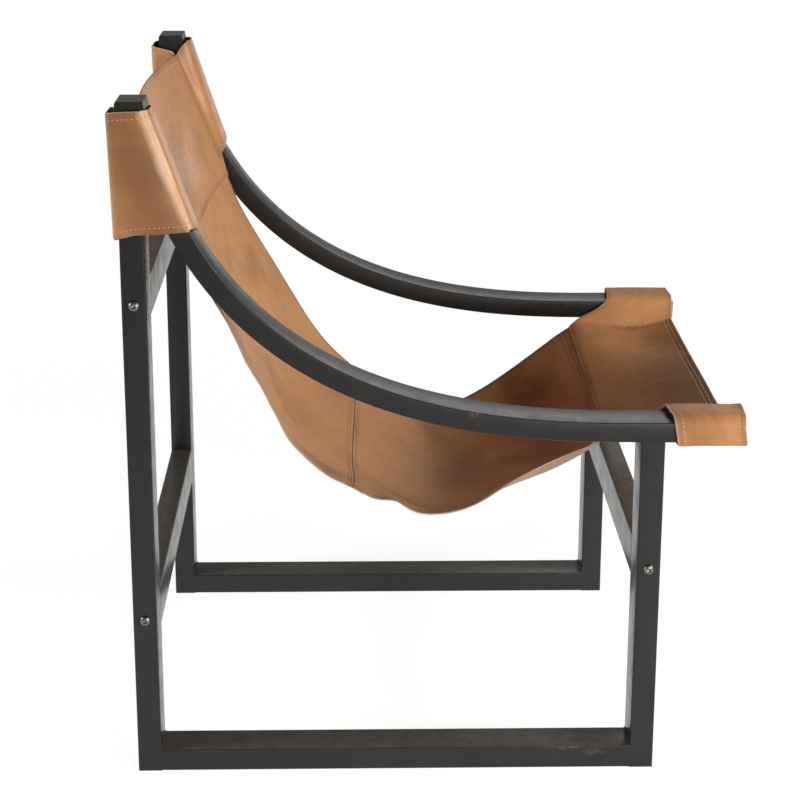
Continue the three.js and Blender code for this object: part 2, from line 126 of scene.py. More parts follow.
def add_piece(name, points, faces, finishes, finish_numbers=None, place=None, crease=35):
    """Makes an object of points and faces, smooth except where faces meet more sharply than crease."""
    mesh = bpy.data.meshes.new(name)
    mesh.from_pydata(points.reshape(-1, 3).tolist(), [], faces)
    for finish in finishes:
        mesh.materials.append(finish)
    if finish_numbers is not None:
        mesh.polygons.foreach_set("material_index", np.asarray(finish_numbers, dtype=np.int32))
    if place is not None:
        corners = np.zeros(len(mesh.loops), dtype=np.int32)
        mesh.loops.foreach_get("vertex_index", corners)
        layer = mesh.uv_layers.new(name="place")
        layer.data.foreach_set("uv", place.reshape(-1, 2)[corners].ravel().astype(np.float32))
    mesh.shade_smooth()
    mesh.set_sharp_from_angle(angle=np.radians(crease))
    mesh.update()
    piece = bpy.data.objects.new(name, mesh)
    bpy.context.scene.collection.objects.link(piece)
    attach(piece, "root")
    return piece


def closed_rings(rings, hubs, turned_over):
    """Points and faces of rings along a path, with a fan round a hub point at each end.

    The faces look along the cross product of the steps from ring to ring and round a ring, and
    are turned over where that is the inside.
    """
    count = rings.shape[1]
    first = np.arange(count)
    last = first + (len(rings) - 1) * count
    hub = np.full(count, len(rings) * count)
    faces = [
        *grid_faces(len(rings), count, True).tolist(),
        *np.stack([hub, first, np.roll(first, -1)], axis=1).tolist(),
        *np.stack([hub + 1, np.roll(last, -1), last], axis=1).tolist(),
    ]
    if turned_over:
        faces = [face[::-1] for face in faces]
    return np.concatenate([rings.reshape(-1, 3), hubs]), faces


# %% [markdown]
# ## Looks that several finishes share
#
# A shader node group is a small recipe with named inputs and outputs. The leather recipe lays
# clouds, stains, a burnished rim, fine pores and a pebble grain over any tan. The patch recipe
# masks the soft patches in which shade, sheen and highlights are painted on the leather, some of
# them also for wear, and the scuff recipe masks flakes of paint knocked off round a place. Each
# reads the piece's own UV map or Object coordinates, so the pattern belongs to the piece.


# %% Helpers for shader nodes
def new_group(name, inputs, outputs):
    """An empty shader node group with named sockets, and its input and output nodes."""
    group = bpy.data.node_groups.new(name, "ShaderNodeTree")
    for socket, kind, value in inputs:
        made = group.interface.new_socket(socket, in_out="INPUT", socket_type=kind)
        if value is not None:
            made.default_value = value
    for socket, kind in outputs:
        group.interface.new_socket(socket, in_out="OUTPUT", socket_type=kind)
    return group, group.nodes.new("NodeGroupInput"), group.nodes.new("NodeGroupOutput")


def put(tree, socket, source):
    """Gives a socket a plain value, or links another socket to it."""
    if hasattr(source, "links"):
        tree.links.new(source, socket)
    else:
        socket.default_value = source


def filled(made, **settings):
    """Sets a node's properties and plain sockets by name, with _ for a space."""
    for key, value in settings.items():
        if hasattr(made, key):
            setattr(made, key, value)
        else:
            made.inputs[key.replace("_", " ")].default_value = value
    return made


def node(tree, kind, links=(), **settings):
    """Adds a node, fills in its settings, and links sources to its inputs."""
    made = filled(tree.nodes.new(kind), **settings)
    for socket, source in links:
        tree.links.new(source, made.inputs[socket])
    return made


def noise(tree, place, scale, detail, roughness, stretch=None):
    """Noise read at a place, with scale in patches per metre, and stretched by a Mapping node."""
    if stretch is not None:
        place = node(tree, "ShaderNodeMapping", [("Vector", place)], Scale=stretch).outputs["Vector"]
    made = node(tree, "ShaderNodeTexNoise", [("Vector", place)], Scale=scale, Detail=detail,
                Roughness=roughness)
    return made.outputs["Fac"]


def ranged(tree, value, low, high, to_low=0, to_high=1, shape="LINEAR"):
    """A value moved from one range to another and held inside it."""
    made = node(tree, "ShaderNodeMapRange", [("Value", value)], interpolation_type=shape,
                From_Min=low, From_Max=high, To_Min=to_low, To_Max=to_high)
    return made.outputs["Result"]


def patchy(tree, place, noise_settings, *limits):
    """Noise at a place as a mask: its scale, detail and roughness, then the two ranges."""
    return ranged(tree, noise(tree, place, *noise_settings), *limits)


def computed(tree, operation, first, second):
    """A Math node. Either side may be a number or a socket."""
    made = node(tree, "ShaderNodeMath", operation=operation)
    for socket, side in zip(made.inputs, (first, second)):
        put(tree, socket, side)
    return made.outputs["Value"]


def mixed(tree, factor, first, second):
    """A colour mix. The factor and either colour may be a plain value or a socket."""
    made = node(tree, "ShaderNodeMix", data_type="RGBA")
    for number, side in zip((0, 6, 7), (factor, first, second)):
        put(tree, made.inputs[number], side)
    return made.outputs[2]


def share_of_reach(tree, given):
    """How far a place lies from a centre, where the reach each way counts as one."""
    offset = node(tree, "ShaderNodeVectorMath", operation="SUBTRACT",
                  links=[(0, given.outputs["Place"]), (1, given.outputs["Centre"])])
    shares = node(tree, "ShaderNodeVectorMath", operation="DIVIDE",
                  links=[(0, offset.outputs["Vector"]), (1, given.outputs["Reach"])])
    length = node(tree, "ShaderNodeVectorMath", [(0, shares.outputs["Vector"])], operation="LENGTH")
    return length.outputs["Value"]


def bumped(tree, skin, height, strength, depth):
    """Bumps a shader's surface by a height from 0 to 1 that stands for a depth in metres."""
    bump = node(tree, "ShaderNodeBump", [("Height", height)], Strength=strength, Distance=depth)
    tree.links.new(bump.outputs["Normal"], skin.inputs["Normal"])


# %% The leather recipe
stain_brown = (0.17, 0.072, 0.036, 1)
burnish_brown = (0.20, 0.088, 0.042, 1)
burnish_reach = (0.0035, 0.010)  # distances from a cut edge between which the rubbed rim fades
pebbles_per_metre = 1100
pores_per_metre = 2600
fibres_per_metre = 420

leather_look, given, given_back = new_group(
    "leather look",
    [
        ("Place", "NodeSocketVector", None),
        ("Colour", "NodeSocketColor", (0.5, 0.3, 0.15, 1)),
        ("Worn colour", "NodeSocketColor", (0.3, 0.16, 0.08, 1)),
        ("Cloudiness", "NodeSocketFloat", 0.5),
        ("Stains", "NodeSocketFloat", 0.3),
        ("From edge", "NodeSocketFloat", 1.0),
        ("Roughness", "NodeSocketFloat", 0.45),
    ],
    [("Colour", "NodeSocketColor"), ("Roughness", "NodeSocketFloat"), ("Height", "NodeSocketFloat")],
)
place = given.outputs["Place"]
small_cloud = noise(leather_look, place, 55, 5, 0.65)
clouds = computed(leather_look, "ADD", patchy(leather_look, place, (9, 4, 0.6), 0.35, 0.7, 0, 0.7),
                  ranged(leather_look, small_cloud, 0.45, 0.75, 0, 0.3))
clouds = computed(leather_look, "MULTIPLY", clouds, given.outputs["Cloudiness"])
shade = mixed(leather_look, clouds, given.outputs["Colour"], given.outputs["Worn colour"])
stain = computed(leather_look, "MULTIPLY", patchy(leather_look, place, (6, 3, 0.55), 0.5, 0.72),
                 given.outputs["Stains"])
shade = mixed(leather_look, stain, shade, stain_brown)
burnish = computed(leather_look, "MULTIPLY",
                   ranged(leather_look, given.outputs["From edge"], *burnish_reach, 1, 0),
                   patchy(leather_look, place, (14, 3, 0.5), 0.35, 0.65, 0.1, 0.6))
shade = mixed(leather_look, burnish, shade, burnish_brown)
pores = patchy(leather_look, place, (pores_per_metre, 2, 0.5), 0.3, 0.75, 0, 0.12)
shade = mixed(leather_look, pores, shade, given.outputs["Worn colour"])
leather_look.links.new(shade, given_back.inputs["Colour"])
gloss = computed(leather_look, "ADD", given.outputs["Roughness"],
                 ranged(leather_look, small_cloud, 0.3, 0.7, -0.06, 0.08))
leather_look.links.new(gloss, given_back.inputs["Roughness"])
pebble = node(leather_look, "ShaderNodeTexVoronoi", [("Vector", place)], feature="SMOOTH_F1",
              Scale=pebbles_per_metre)
pebble_height = computed(leather_look, "MULTIPLY", pebble.outputs["Distance"], 0.5)
fibres = noise(leather_look, place, fibres_per_metre, 5, 0.6)
fibre_height = computed(leather_look, "MULTIPLY", fibres, 0.6)
grain_height = computed(leather_look, "ADD", pebble_height, fibre_height)
leather_look.links.new(grain_height, given_back.inputs["Height"])

# %% The recipe for patches of painted light and wear
patch_inputs = [("Place", "NodeSocketVector", None), ("Centre", "NodeSocketVector", (0, 0, 0))]
light_and_wear_patch, given, given_back = new_group(
    "light_and_wear_patch", [*patch_inputs, ("Reach", "NodeSocketVector", (0.1, 0.1, 1))], [("Mask", "NodeSocketFloat")])
wavering = computed(light_and_wear_patch, "ADD", share_of_reach(light_and_wear_patch, given),
                    patchy(light_and_wear_patch, given.outputs["Place"], (16, 4, 0.6), 0.3, 0.7, -0.25, 0.25))
light_and_wear_patch.links.new(ranged(light_and_wear_patch, wavering, 0.2, 1.0, 1, 0, "SMOOTHSTEP"), given_back.inputs["Mask"])

# %% The scuff recipe
scuffs, given, given_back = new_group(
    "scuffs",
    [
        *patch_inputs,
        ("Reach", "NodeSocketVector", (0.03, 0.03, 0.03)),
        ("Flakes per metre", "NodeSocketFloat", 300.0),
    ],
    [("Mask", "NodeSocketFloat")],
)
nearness = ranged(scuffs, share_of_reach(scuffs, given), 1.0, 0.2)
flakes = node(scuffs, "ShaderNodeTexNoise", Detail=6,
              links=[("Vector", given.outputs["Place"]), ("Scale", given.outputs["Flakes per metre"])])
flaky = ranged(scuffs, flakes.outputs["Fac"], 0.5, 0.58)
scuffs.links.new(computed(scuffs, "MULTIPLY", nearness, flaky), given_back.inputs["Mask"])
print("recipes", leather_look.name, light_and_wear_patch.name, scuffs.name)

# %% [markdown]
# ## The finishes
#
# Powder coat is a thin plastic skin: nearly black, with a soft gloss that brightens at a grazing
# look, a very fine orange-peel bump and dusty patches. It is painted blacker up high, for the shade
# under the sleeves as well as for cleaner paint. Faces that look upward are painted lighter, for dust
# and for the light they catch, and a few scuffs go down to the primer. Saddle leather is tan and
# cloudy, smooth and a little glossy on its grain side, dry and duller on its flesh side, and palest
# where it is cut. Patches of painted shade darken it where the chair is in shade and shadow, partly
# also for wear. A grey patch paints sheen on the seat, and painted highlights lighten the seat by its
# last seam and the fold of the near rear sleeve.


# %% Powder coat
def new_material(name):
    """A material with an empty Principled BSDF, its node tree, and that shader."""
    material = bpy.data.materials.new(name)
    material.use_nodes = True
    tree = material.node_tree
    return material, tree, tree.nodes["Principled BSDF"]


dust_and_shade_heights = (0.20, 0.66)  # between these heights the paint turns from dusty to a blacker painted shade
shaded_clean_black = (0.0050, 0.0047, 0.0045)
peel_depth = 0.0002


def powder_coat(name, colour, dusty, top_dust_and_light, roughness, marks=()):
    """Satin powder coat with fine orange peel, dusty patches and scuffs.

    The paint is painted blacker with height, for painted shade as well as cleaner paint, and faces
    that look upward are painted lighter, for dust and painted light.
    A mark on the frame's right outer face is [forward, height, reach, flakes per metre, primer].
    """
    material, tree, skin = new_material(name)
    where = node(tree, "ShaderNodeTexCoord").outputs["Object"]
    dust = computed(tree, "MULTIPLY", patchy(tree, where, (22, 5, 0.6), 0.4, 0.75), 0.6)
    shade = mixed(tree, dust, (*colour, 1), (*dusty, 1))
    shade = mixed(tree, patchy(tree, where, (420, 3, 0.6), 0.45, 0.8, 0, 0.4), shade, (*dusty, 1))
    height = node(tree, "ShaderNodeSeparateXYZ", [("Vector", where)]).outputs["Z"]
    # Painted shade: the paint is blacker from the lower height to the upper.
    shade = mixed(tree, ranged(tree, height, *dust_and_shade_heights, 1, 0), (*shaded_clean_black, 1), shade)
    for mark_forward, mark_height, reach, flakes_per_metre, primer in marks:
        centre = placed(-half_width, mark_forward, mark_height).tolist()
        mask = node(tree, "ShaderNodeGroup", [("Place", where)], node_tree=scuffs,
                    Centre=centre, Reach=reach, Flakes_per_metre=flakes_per_metre)
        shade = mixed(tree, mask.outputs["Mask"], shade, (*primer, 1))
    facing = node(tree, "ShaderNodeNewGeometry").outputs["Normal"]
    upward = node(tree, "ShaderNodeSeparateXYZ", [("Vector", facing)]).outputs["Z"]
    # Painted light and dust: faces that look upward are lighter.
    top_dust_and_light_share = computed(tree, "MULTIPLY", ranged(tree, upward, 0.6, 0.98, 0, 0.8),
                       patchy(tree, where, (60, 4, 0.6), 0.3, 0.7, 0.6, 1))
    shade = mixed(tree, top_dust_and_light_share, shade, (*top_dust_and_light, 1))
    tree.links.new(shade, skin.inputs["Base Color"])
    filled(skin, Specular_IOR_Level=0.33)
    rough = patchy(tree, where, (35, 4, 0.6), 0.3, 0.7, roughness - 0.05, roughness + 0.09)
    tree.links.new(rough, skin.inputs["Roughness"])
    bumped(tree, skin, noise(tree, where, 1500, 2, 0.4), 0.1, peel_depth)
    return material


rail_scratch = (0.545, 0.034, (0.024, 0.032, 0.0095), 420.0, (0.2, 0.19, 0.18))
rail_specks = (0.585, 0.022, (0.02, 0.02, 0.005), 700.0, (0.12, 0.11, 0.1))
arm_scuff = (0.4265, 0.4805, (0.05, 0.011, 0.009), 300.0, (0.13, 0.125, 0.12))
# The last colour is laid on faces that look upward: dust with painted light. It is much lighter on the caps,
# whose tops and bevels catch the light.
powder_black = powder_coat("powder_black", (0.0185, 0.0168, 0.0152), (0.030, 0.0270, 0.0240),
                           (0.110, 0.106, 0.098), 0.28, [rail_scratch, rail_specks, arm_scuff])
cap_black = powder_coat("cap_black", (0.018, 0.0172, 0.016), (0.028, 0.026, 0.024),
                        (0.240, 0.232, 0.215), 0.36)
print("painted finishes", powder_black.name, cap_black.name)

# %% Stainless steel
tool_mark_depth = 0.0001


def turned_steel(name):
    """Stainless steel with fine tool marks, which are noise stretched along the bolt."""
    material, tree, skin = new_material(name)
    where = node(tree, "ShaderNodeTexCoord").outputs["Object"]
    tool_marks = noise(tree, where, 900, 3, 0.5, (0.2, 1, 1))
    tone = mixed(tree, ranged(tree, tool_marks, 0.3, 0.7), (0.15, 0.143, 0.135, 1), (0.25, 0.24, 0.228, 1))
    tree.links.new(tone, skin.inputs["Base Color"])
    tree.links.new(ranged(tree, tool_marks, 0.3, 0.7, 0.22, 0.36), skin.inputs["Roughness"])
    filled(skin, Metallic=1)
    bumped(tree, skin, tool_marks, 0.15, tool_mark_depth)
    return material


bolt_steel = turned_steel("bolt_steel")
print("metal finish", bolt_steel.name)

# %% Leather
grain_depth = 0.0002
flesh_depth = 0.0005


def leather_finish(name, colour, worn, cloudiness, roughness, bump_depth,
                   sheen=0.0, specular=0.3, stains=0.0, patches=()):
    """Leather of one colour and gloss, with the shared recipe's clouds, stains and grain.

    A patch is [centre, reach, share, tint]: the tint is mixed in by that share of its mask.
    """
    material, tree, skin = new_material(name)
    where = node(tree, "ShaderNodeUVMap", uv_map="place").outputs["UV"]
    from_edge = node(tree, "ShaderNodeAttribute", attribute_name="from_edge").outputs["Fac"]
    look = node(tree, "ShaderNodeGroup", [("Place", where), ("From edge", from_edge)],
                node_tree=leather_look, Colour=(*colour, 1), Worn_colour=(*worn, 1),
                Cloudiness=cloudiness, Stains=stains, Roughness=roughness)
    shade = look.outputs["Colour"]
    # Patches of painted shade, sheen and highlights, partly also wear.
    for centre, reach, share, tint in patches:
        mask = node(tree, "ShaderNodeGroup", [("Place", where)], node_tree=light_and_wear_patch,
                    Centre=(*centre, 0), Reach=(*reach, 1))
        shade = mixed(tree, computed(tree, "MULTIPLY", mask.outputs["Mask"], share), shade, (*tint, 1))
    tree.links.new(shade, skin.inputs["Base Color"])
    tree.links.new(look.outputs["Roughness"], skin.inputs["Roughness"])
    bumped(tree, skin, look.outputs["Height"], 0.25, bump_depth)
    filled(skin, Sheen_Weight=sheen, Specular_IOR_Level=specular)
    return material


# Tints of patches that paint shade, sheen and highlights. Their places are metres across from the middle and
# down from a hide's top edge.
# Painted shade and shadow, partly also wear: the darker brown of most patches.
shade_and_wear_brown = (0.150, 0.060, 0.030)
# Painted sheen: a grey laid on the lower seat.
painted_sheen_grey = (0.270, 0.205, 0.170)
# Painted highlight: a lighter tan beside the seat's last seam.
painted_highlight_tan = (0.800, 0.420, 0.190)
# Painted highlight along the fold of the near rear sleeve.
painted_fold_highlight = (0.980, 0.660, 0.420)
# Panels: the darker brown darkens the lumbar's near edge and paints the shadow over the seat's far front and
# the front panel's near half.
panel_patches = {
    "lumbar": [((-0.215, 0.330), (0.055, 0.090), 0.50, shade_and_wear_brown)],
    "seat": [((0.060, 0.160), (0.120, 0.060), 0.45, painted_sheen_grey), ((0.190, 0.285), (0.120, 0.065), 0.70, shade_and_wear_brown),
             ((0.170, 0.366), (0.110, 0.026), 0.60, painted_highlight_tan)],
    "front": [((-0.080, 0.140), (0.250, 0.120), 0.55, shade_and_wear_brown)],
}
# Back piece: the darker brown paints shade over the near rear sleeve's outer face and darkens a patch of the
# back panel.
fold_patches = [((-0.375, 0.085), (0.058, 0.220), 0.60, shade_and_wear_brown),
                ((-0.3405, 0.080), (0.011, 0.140), 0.60, painted_fold_highlight),
                ((0.030, 0.120), (0.095, 0.100), 0.28, shade_and_wear_brown)]
panel_tans = {  # each panel's tan, and its darker tan where it is worn
    "lumbar": ((0.63, 0.324, 0.150), (0.41, 0.190, 0.084)),
    "seat": ((0.64, 0.330, 0.158), (0.43, 0.200, 0.092)),
    "front": ((0.62, 0.296, 0.120), (0.40, 0.172, 0.068)),
}
panel_hides = {
    panel: leather_finish(f"{panel}_hide", *panel_tans[panel], 0.7, 0.46, grain_depth,
                          specular=0.15, stains=0.6, patches=patches)
    for panel, patches in panel_patches.items()
}
sleeve_hide = leather_finish("sleeve_hide", (0.59, 0.282, 0.114), (0.40, 0.170, 0.062), 0.65, 0.33,
                             grain_depth, specular=0.32, stains=0.35, patches=fold_patches)
flesh_side = leather_finish("flesh_side", (0.46, 0.27, 0.145), (0.34, 0.18, 0.09), 0.5, 0.8,
                            flesh_depth, sheen=0.2)
cut_edge = leather_finish("cut_edge", (0.78, 0.56, 0.37), (0.56, 0.35, 0.20), 0.6, 0.7, flesh_depth)
print("leather finishes for", *panel_hides, "and the sleeves")

# %% Thread
fibre_depth = 0.0003


def thread_finish(name, colour, worn):
    """Waxed thread, with fine noise for its fibres."""
    material, tree, skin = new_material(name)
    where = node(tree, "ShaderNodeTexCoord").outputs["Object"]
    fibre_noise = noise(tree, where, 1800, 3, 0.6)
    tone = mixed(tree, ranged(tree, fibre_noise, 0.35, 0.7), (*colour, 1), (*worn, 1))
    tree.links.new(tone, skin.inputs["Base Color"])
    filled(skin, Roughness=0.5)
    bumped(tree, skin, fibre_noise, 0.3, fibre_depth)
    return material


light_thread = thread_finish("light_thread", (0.62, 0.42, 0.25), (0.45, 0.28, 0.15))
tan_thread = thread_finish("tan_thread", (0.68, 0.47, 0.28), (0.52, 0.33, 0.18))
dark_thread = thread_finish("dark_thread", (0.13, 0.065, 0.035), (0.08, 0.04, 0.02))
print("threads", light_thread.name, tan_thread.name, dark_thread.name)

# %% [markdown]
# ## Tubes with rolled corners
#
# Rectangular steel tube is rolled from strip, so its four long corners are round, and light runs
# along them as a thin line. A cube can't show that line. Each tube here is one profile, a rectangle
# with quarter-circle corners, carried along a path. Where two tubes meet in one flat face, their
# corners close up to a sharp edge, because a welder fills and grinds that place flush.

# %% A rounded profile carried along a path
corner_steps = 5


def rounded_rectangle(width, depth, radius):
    """Points round a rectangle with quarter-circle corners, for arrays of sizes and corner radii.

    Each corner's centre lies one radius inside both sides, and its arc turns a quarter round it.
    radius holds one radius for each corner, counted from the corner at +width, +depth.
    """
    turn = np.linspace(0, np.pi / 2, corner_steps)
    starts = np.arange(4) * np.pi / 2
    angle = (starts[:, None] + turn).ravel()
    sign_width = np.repeat([1, -1, -1, 1], corner_steps)
    sign_depth = np.repeat([1, 1, -1, -1], corner_steps)
    each = np.repeat(radius, corner_steps, axis=-1)
    along_width = sign_width * (np.asarray(width)[..., None] / 2 - each) + each * np.cos(angle)
    along_depth = sign_depth * (np.asarray(depth)[..., None] / 2 - each) + each * np.sin(angle)
    return along_width, along_depth


def carried(path, profile, width_axis, depth_axis):
    """Rings of points: the path, plus a profile's widths along one axis and depths along another."""
    along_width, along_depth = profile
    wide, deep = (np.broadcast_to(axis, path.shape)[:, None] for axis in (width_axis, depth_axis))
    return path[:, None] + along_width[..., None] * wide + along_depth[..., None] * deep


def node_piece(name, points, faces, node_name, finish, slot_name, crease=35):
    """A piece of one finish that stands for one CAD node."""
    piece = add_piece(name, points, faces, [finish], crease=crease)
    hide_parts(node_name)
    return piece


frame_paint = (powder_black, "frame_paint")
across_axis = np.array([1.0, 0.0, 0.0])
forward_axis = np.array([0.0, -1.0, 0.0])
up_axis = np.array([0.0, 0.0, 1.0])
sides = (("right", -1), ("left", 1))
bore_shown = 0.012  # how far into an open end the bore is modelled


def tube_piece(name, path, width_axis, depth_axis, width, depth, node_name, radius=None):
    """A hollow tube: its outer profile, both end faces, and a short way into the bore.

    Its corners are rolled all along, unless radii are given for each station and corner.
    """
    rolled = np.full((len(path), 4), corner_radius)
    wide = np.full(len(path), width)
    deep = np.full(len(path), depth)
    outer_profile = rounded_rectangle(wide, deep, rolled if radius is None else radius)
    inner_profile = rounded_rectangle(wide - 2 * tube_wall, deep - 2 * tube_wall, rolled / 2)
    outer = carried(path, outer_profile, width_axis, depth_axis)
    inner = carried(path, inner_profile, width_axis, depth_axis)
    start_way = unit(path[1] - path[0]) * bore_shown
    end_way = unit(path[-1] - path[-2]) * bore_shown
    rings = np.concatenate([
        inner[:1] + start_way, inner[:1], outer, inner[-1:], inner[-1:] - end_way,
    ])
    turned_over = np.cross(width_axis, depth_axis) @ (path[1] - path[0]) > 0
    points, faces = closed_rings(rings, [path[0] + start_way, path[-1] - end_way], turned_over)
    return node_piece(name, points, faces, node_name, *frame_paint)


# %% Posts, legs and floor rails
ground_radius = 0.0001  # a corner filled by the weld and ground flush
arm_foot = 0.775  # where the arm's underside leaves the post
corner_reach = 0.012
rail_end_step = 0.004
tube_middle = half_width - tube_width / 2
upright_shares = np.array([0, 0.002, 0.01, 0.025, 0.05, 0.07, 0.1, 0.3, 0.6, 0.9, 0.95, 0.98, 0.998, 1])


def easing(distance, reach):
    """0 at no distance, 1 from reach on, and smooth between: 3t² - 2t³."""
    share = np.clip(distance / reach, 0, 1)
    return share * share * (3 - 2 * share)


def corner_away(distance):
    """A corner's radius at a distance from a weld: ground sharp at it, and rolled beyond its reach."""
    return ground_radius + (corner_radius - ground_radius) * easing(distance, corner_reach)


def frame_tubes(prefix, side):
    """The post, leg and floor rail of one side, with square corners only where they are welded."""
    across = side * tube_middle
    post_heights = (total_height - cap_height) * upright_shares
    welded = np.minimum(corner_away(post_heights - tube_depth), corner_away(arm_foot - post_heights))
    rolled = np.full_like(welded, corner_radius)
    tube_piece(f"{prefix}_post_tube", placed(across, tube_depth / 2, post_heights), across_axis,
               forward_axis, tube_width, tube_depth, f"{prefix}_rear_post",
               np.stack([welded, welded, rolled, rolled], axis=1))
    leg_heights = (arm_height - arm_thickness) * upright_shares
    welded = corner_away(leg_heights - tube_depth)
    tube_piece(f"{prefix}_leg_tube", placed(across, base_depth - tube_depth / 2, leg_heights), across_axis,
               forward_axis, tube_width, tube_depth, f"{prefix}_front_leg",
               np.stack([rolled, rolled, welded, welded], axis=1))
    rail_end = base_depth - tube_depth
    rail_forward = np.array([
        tube_depth, tube_depth + rail_end_step, base_depth / 2, rail_end - rail_end_step, rail_end,
    ])
    tube_piece(f"{prefix}_rail_tube", placed(across, rail_forward, tube_depth / 2), across_axis, up_axis,
               tube_width, tube_depth, f"{prefix}_floor_rail")


for prefix, side in sides:
    frame_tubes(prefix, side)
print("posts, legs and rails made")

# %% [markdown]
# ## The curved arms
#
# An arm falls almost straight down from the post's top, sweeps forward and runs out level over the
# front leg. A cubic Bezier curve draws that sweep with two end points and two handles. The tube's
# top follows the curve, and the profile hangs below it, square to it all the way.

# %% The arms
arm_lean = np.radians(10.5)
arm_rear_pull = 0.400
arm_front_pull = 0.174
arm_level_length = 0.015
arm_top_reach = 0.0035  # how far the arm stands in front of the post at the very top
thinnest_tip = 0.0011
arm_cap_depth = 0.002
level_stations = np.array([0.010, arm_cap_depth])  # the last two, back from the arm's very end
bend_start = base_depth - arm_level_length
arm_handles = np.array([
    [tube_depth + arm_top_reach, total_height],
    [tube_depth + arm_rear_pull * np.sin(arm_lean), total_height - arm_rear_pull * np.cos(arm_lean)],
    [bend_start - arm_front_pull, arm_height],
    [bend_start, arm_height],
])
bend = np.linspace(0, 1, 121)[:, None]
arm_top = ((1 - bend) ** 3 * arm_handles[0] + 3 * (1 - bend) ** 2 * bend * arm_handles[1]
           + 3 * (1 - bend) * bend ** 2 * arm_handles[2] + bend ** 3 * arm_handles[3])


def arm_front_at(height):
    """How far forward the arm's top line is at a height, read off the Bezier curve."""
    return np.interp(-np.asarray(height), -arm_top[:, 1], arm_top[:, 0])


def arm_piece(prefix, side):
    """One arm: its profile hangs below the top line and is cut by the post's front face at the rear."""
    level_end = np.stack([arm_end - level_stations, np.full_like(level_stations, arm_height)], axis=1)
    line = np.concatenate([arm_top, level_end])
    start = [arm_front_at(total_height - cap_height), total_height - cap_height]
    line = np.concatenate([[start], line[line[:, 1] < start[1] - thinnest_tip]])
    way = unit(np.gradient(line, axis=0))
    way[-3:] = (1, 0)
    below = np.stack([way[:, 1], -way[:, 0]], axis=1)
    to_post = (line[:, 0] - tube_depth) / np.maximum(-below[:, 0], 1e-6)
    deep = np.clip(to_post, thinnest_tip, arm_thickness)
    middle = line + below * deep[:, None] / 2
    path = placed(side * tube_middle, middle[:, 0], middle[:, 1])
    top_axis = np.stack([np.zeros(len(line)), below[:, 0], -below[:, 1]], axis=1)
    upper_corner = np.minimum(corner_radius, deep - 2 * ground_radius)
    from_leg = np.abs(line[:, 0] - base_depth + tube_depth / 2) - tube_depth / 2
    under_corner = np.minimum(corner_away(to_post - arm_thickness), corner_away(from_leg))
    radius = np.stack([upper_corner, upper_corner, under_corner, under_corner], axis=1)
    profile = rounded_rectangle(np.full(len(line), tube_width), deep, radius)
    rings = carried(path, profile, across_axis, top_axis)
    points, faces = closed_rings(rings, [path[0], path[-1]], True)
    return node_piece(f"{prefix}_arm_tube", points, faces, f"{prefix}_arm", *frame_paint)


for prefix, side in sides:
    arm_piece(prefix, side)
print("arm's top line at its foot:", arm_front_at(arm_foot).round(4))

# %% [markdown]
# ## Caps, stretchers and welds
#
# Each post and the arm's upper end are closed by one flat cap, ground flush with both, with a small
# bevel along its rear edge. Another closes the arm's front end. The stretchers are flat tubes set on
# edge between the side frames. Each weld left visible in a lower inner corner is a small bead, a
# quarter-round bar with the ripples that a torch leaves.

# %% Post caps and arm caps
cap_paint = (cap_black, "cap_paint")
cap_bevel_depth = 0.0015
cap_flat_height = 0.011
post_cap_rounding = 0.0006
arm_cap_rounding = 0.0007
cap_floor = total_height - cap_height
arm_bottom = arm_height - arm_thickness


def block_piece(name, outline, side, rounding_radius, node_name):
    """A block: an outline of [forward, height] carried across a tube, its edges rounded by Bevel."""
    outline = np.asarray(outline)
    count = len(outline)
    near, far = (
        placed(side * tube_middle + way * tube_width / 2, outline[:, 0], outline[:, 1]) for way in (-1, 1)
    )
    number = np.arange(count)
    beside = np.roll(number, -1)
    faces = np.stack([number, beside, beside + count, number + count], axis=1).tolist()
    faces += [number[::-1].tolist(), (number + count).tolist()]
    piece = node_piece(name, np.concatenate([near, far]), faces, node_name, *cap_paint)
    rounding = piece.modifiers.new("rounded edges", "BEVEL")
    rounding.width = rounding_radius
    rounding.segments = 3
    rounding.limit_method = "ANGLE"
    rounding.harden_normals = False
    return piece


post_cap_outline = [
    [0, cap_floor], [0, cap_floor + cap_flat_height], [cap_bevel_depth, total_height],
    [arm_front_at(total_height), total_height], [arm_front_at(cap_floor), cap_floor],
]
arm_cap_outline = [
    [arm_end - arm_cap_depth, arm_bottom], [arm_end - arm_cap_depth, arm_height],
    [arm_end, arm_height], [arm_end, arm_bottom],
]
for prefix, side in sides:
    block_piece(f"{prefix}_post_top", post_cap_outline, side, post_cap_rounding, f"{prefix}_post_cap")
    block_piece(f"{prefix}_arm_front", arm_cap_outline, side, arm_cap_rounding, f"{prefix}_arm_cap")

# %% Stretchers
stretcher_height = 0.052
stretcher_places = {  # how far forward and how high each one's middle is
    "upper_stretcher": (tube_depth / 2, 0.615),
    "lower_stretcher": (tube_depth / 2, 0.208),
    "front_stretcher": (base_depth - tube_depth / 2, 0.273),
}
stretcher_reach = half_width - tube_width
stretcher_shares = np.array([-1, -0.99, -0.5, 0, 0.5, 0.99, 1])
for name, (forward, height) in stretcher_places.items():
    path = placed(stretcher_shares * stretcher_reach, forward, height)
    tube_piece(f"{name}_tube", path, forward_axis, up_axis, tube_depth, stretcher_height, name)

# %% Weld beads
bead_radius = 0.0028
bead_inset = 0.001
ripple_share = 0.12
ripple_turning = 44  # radians of ripple from the bead's middle to its end


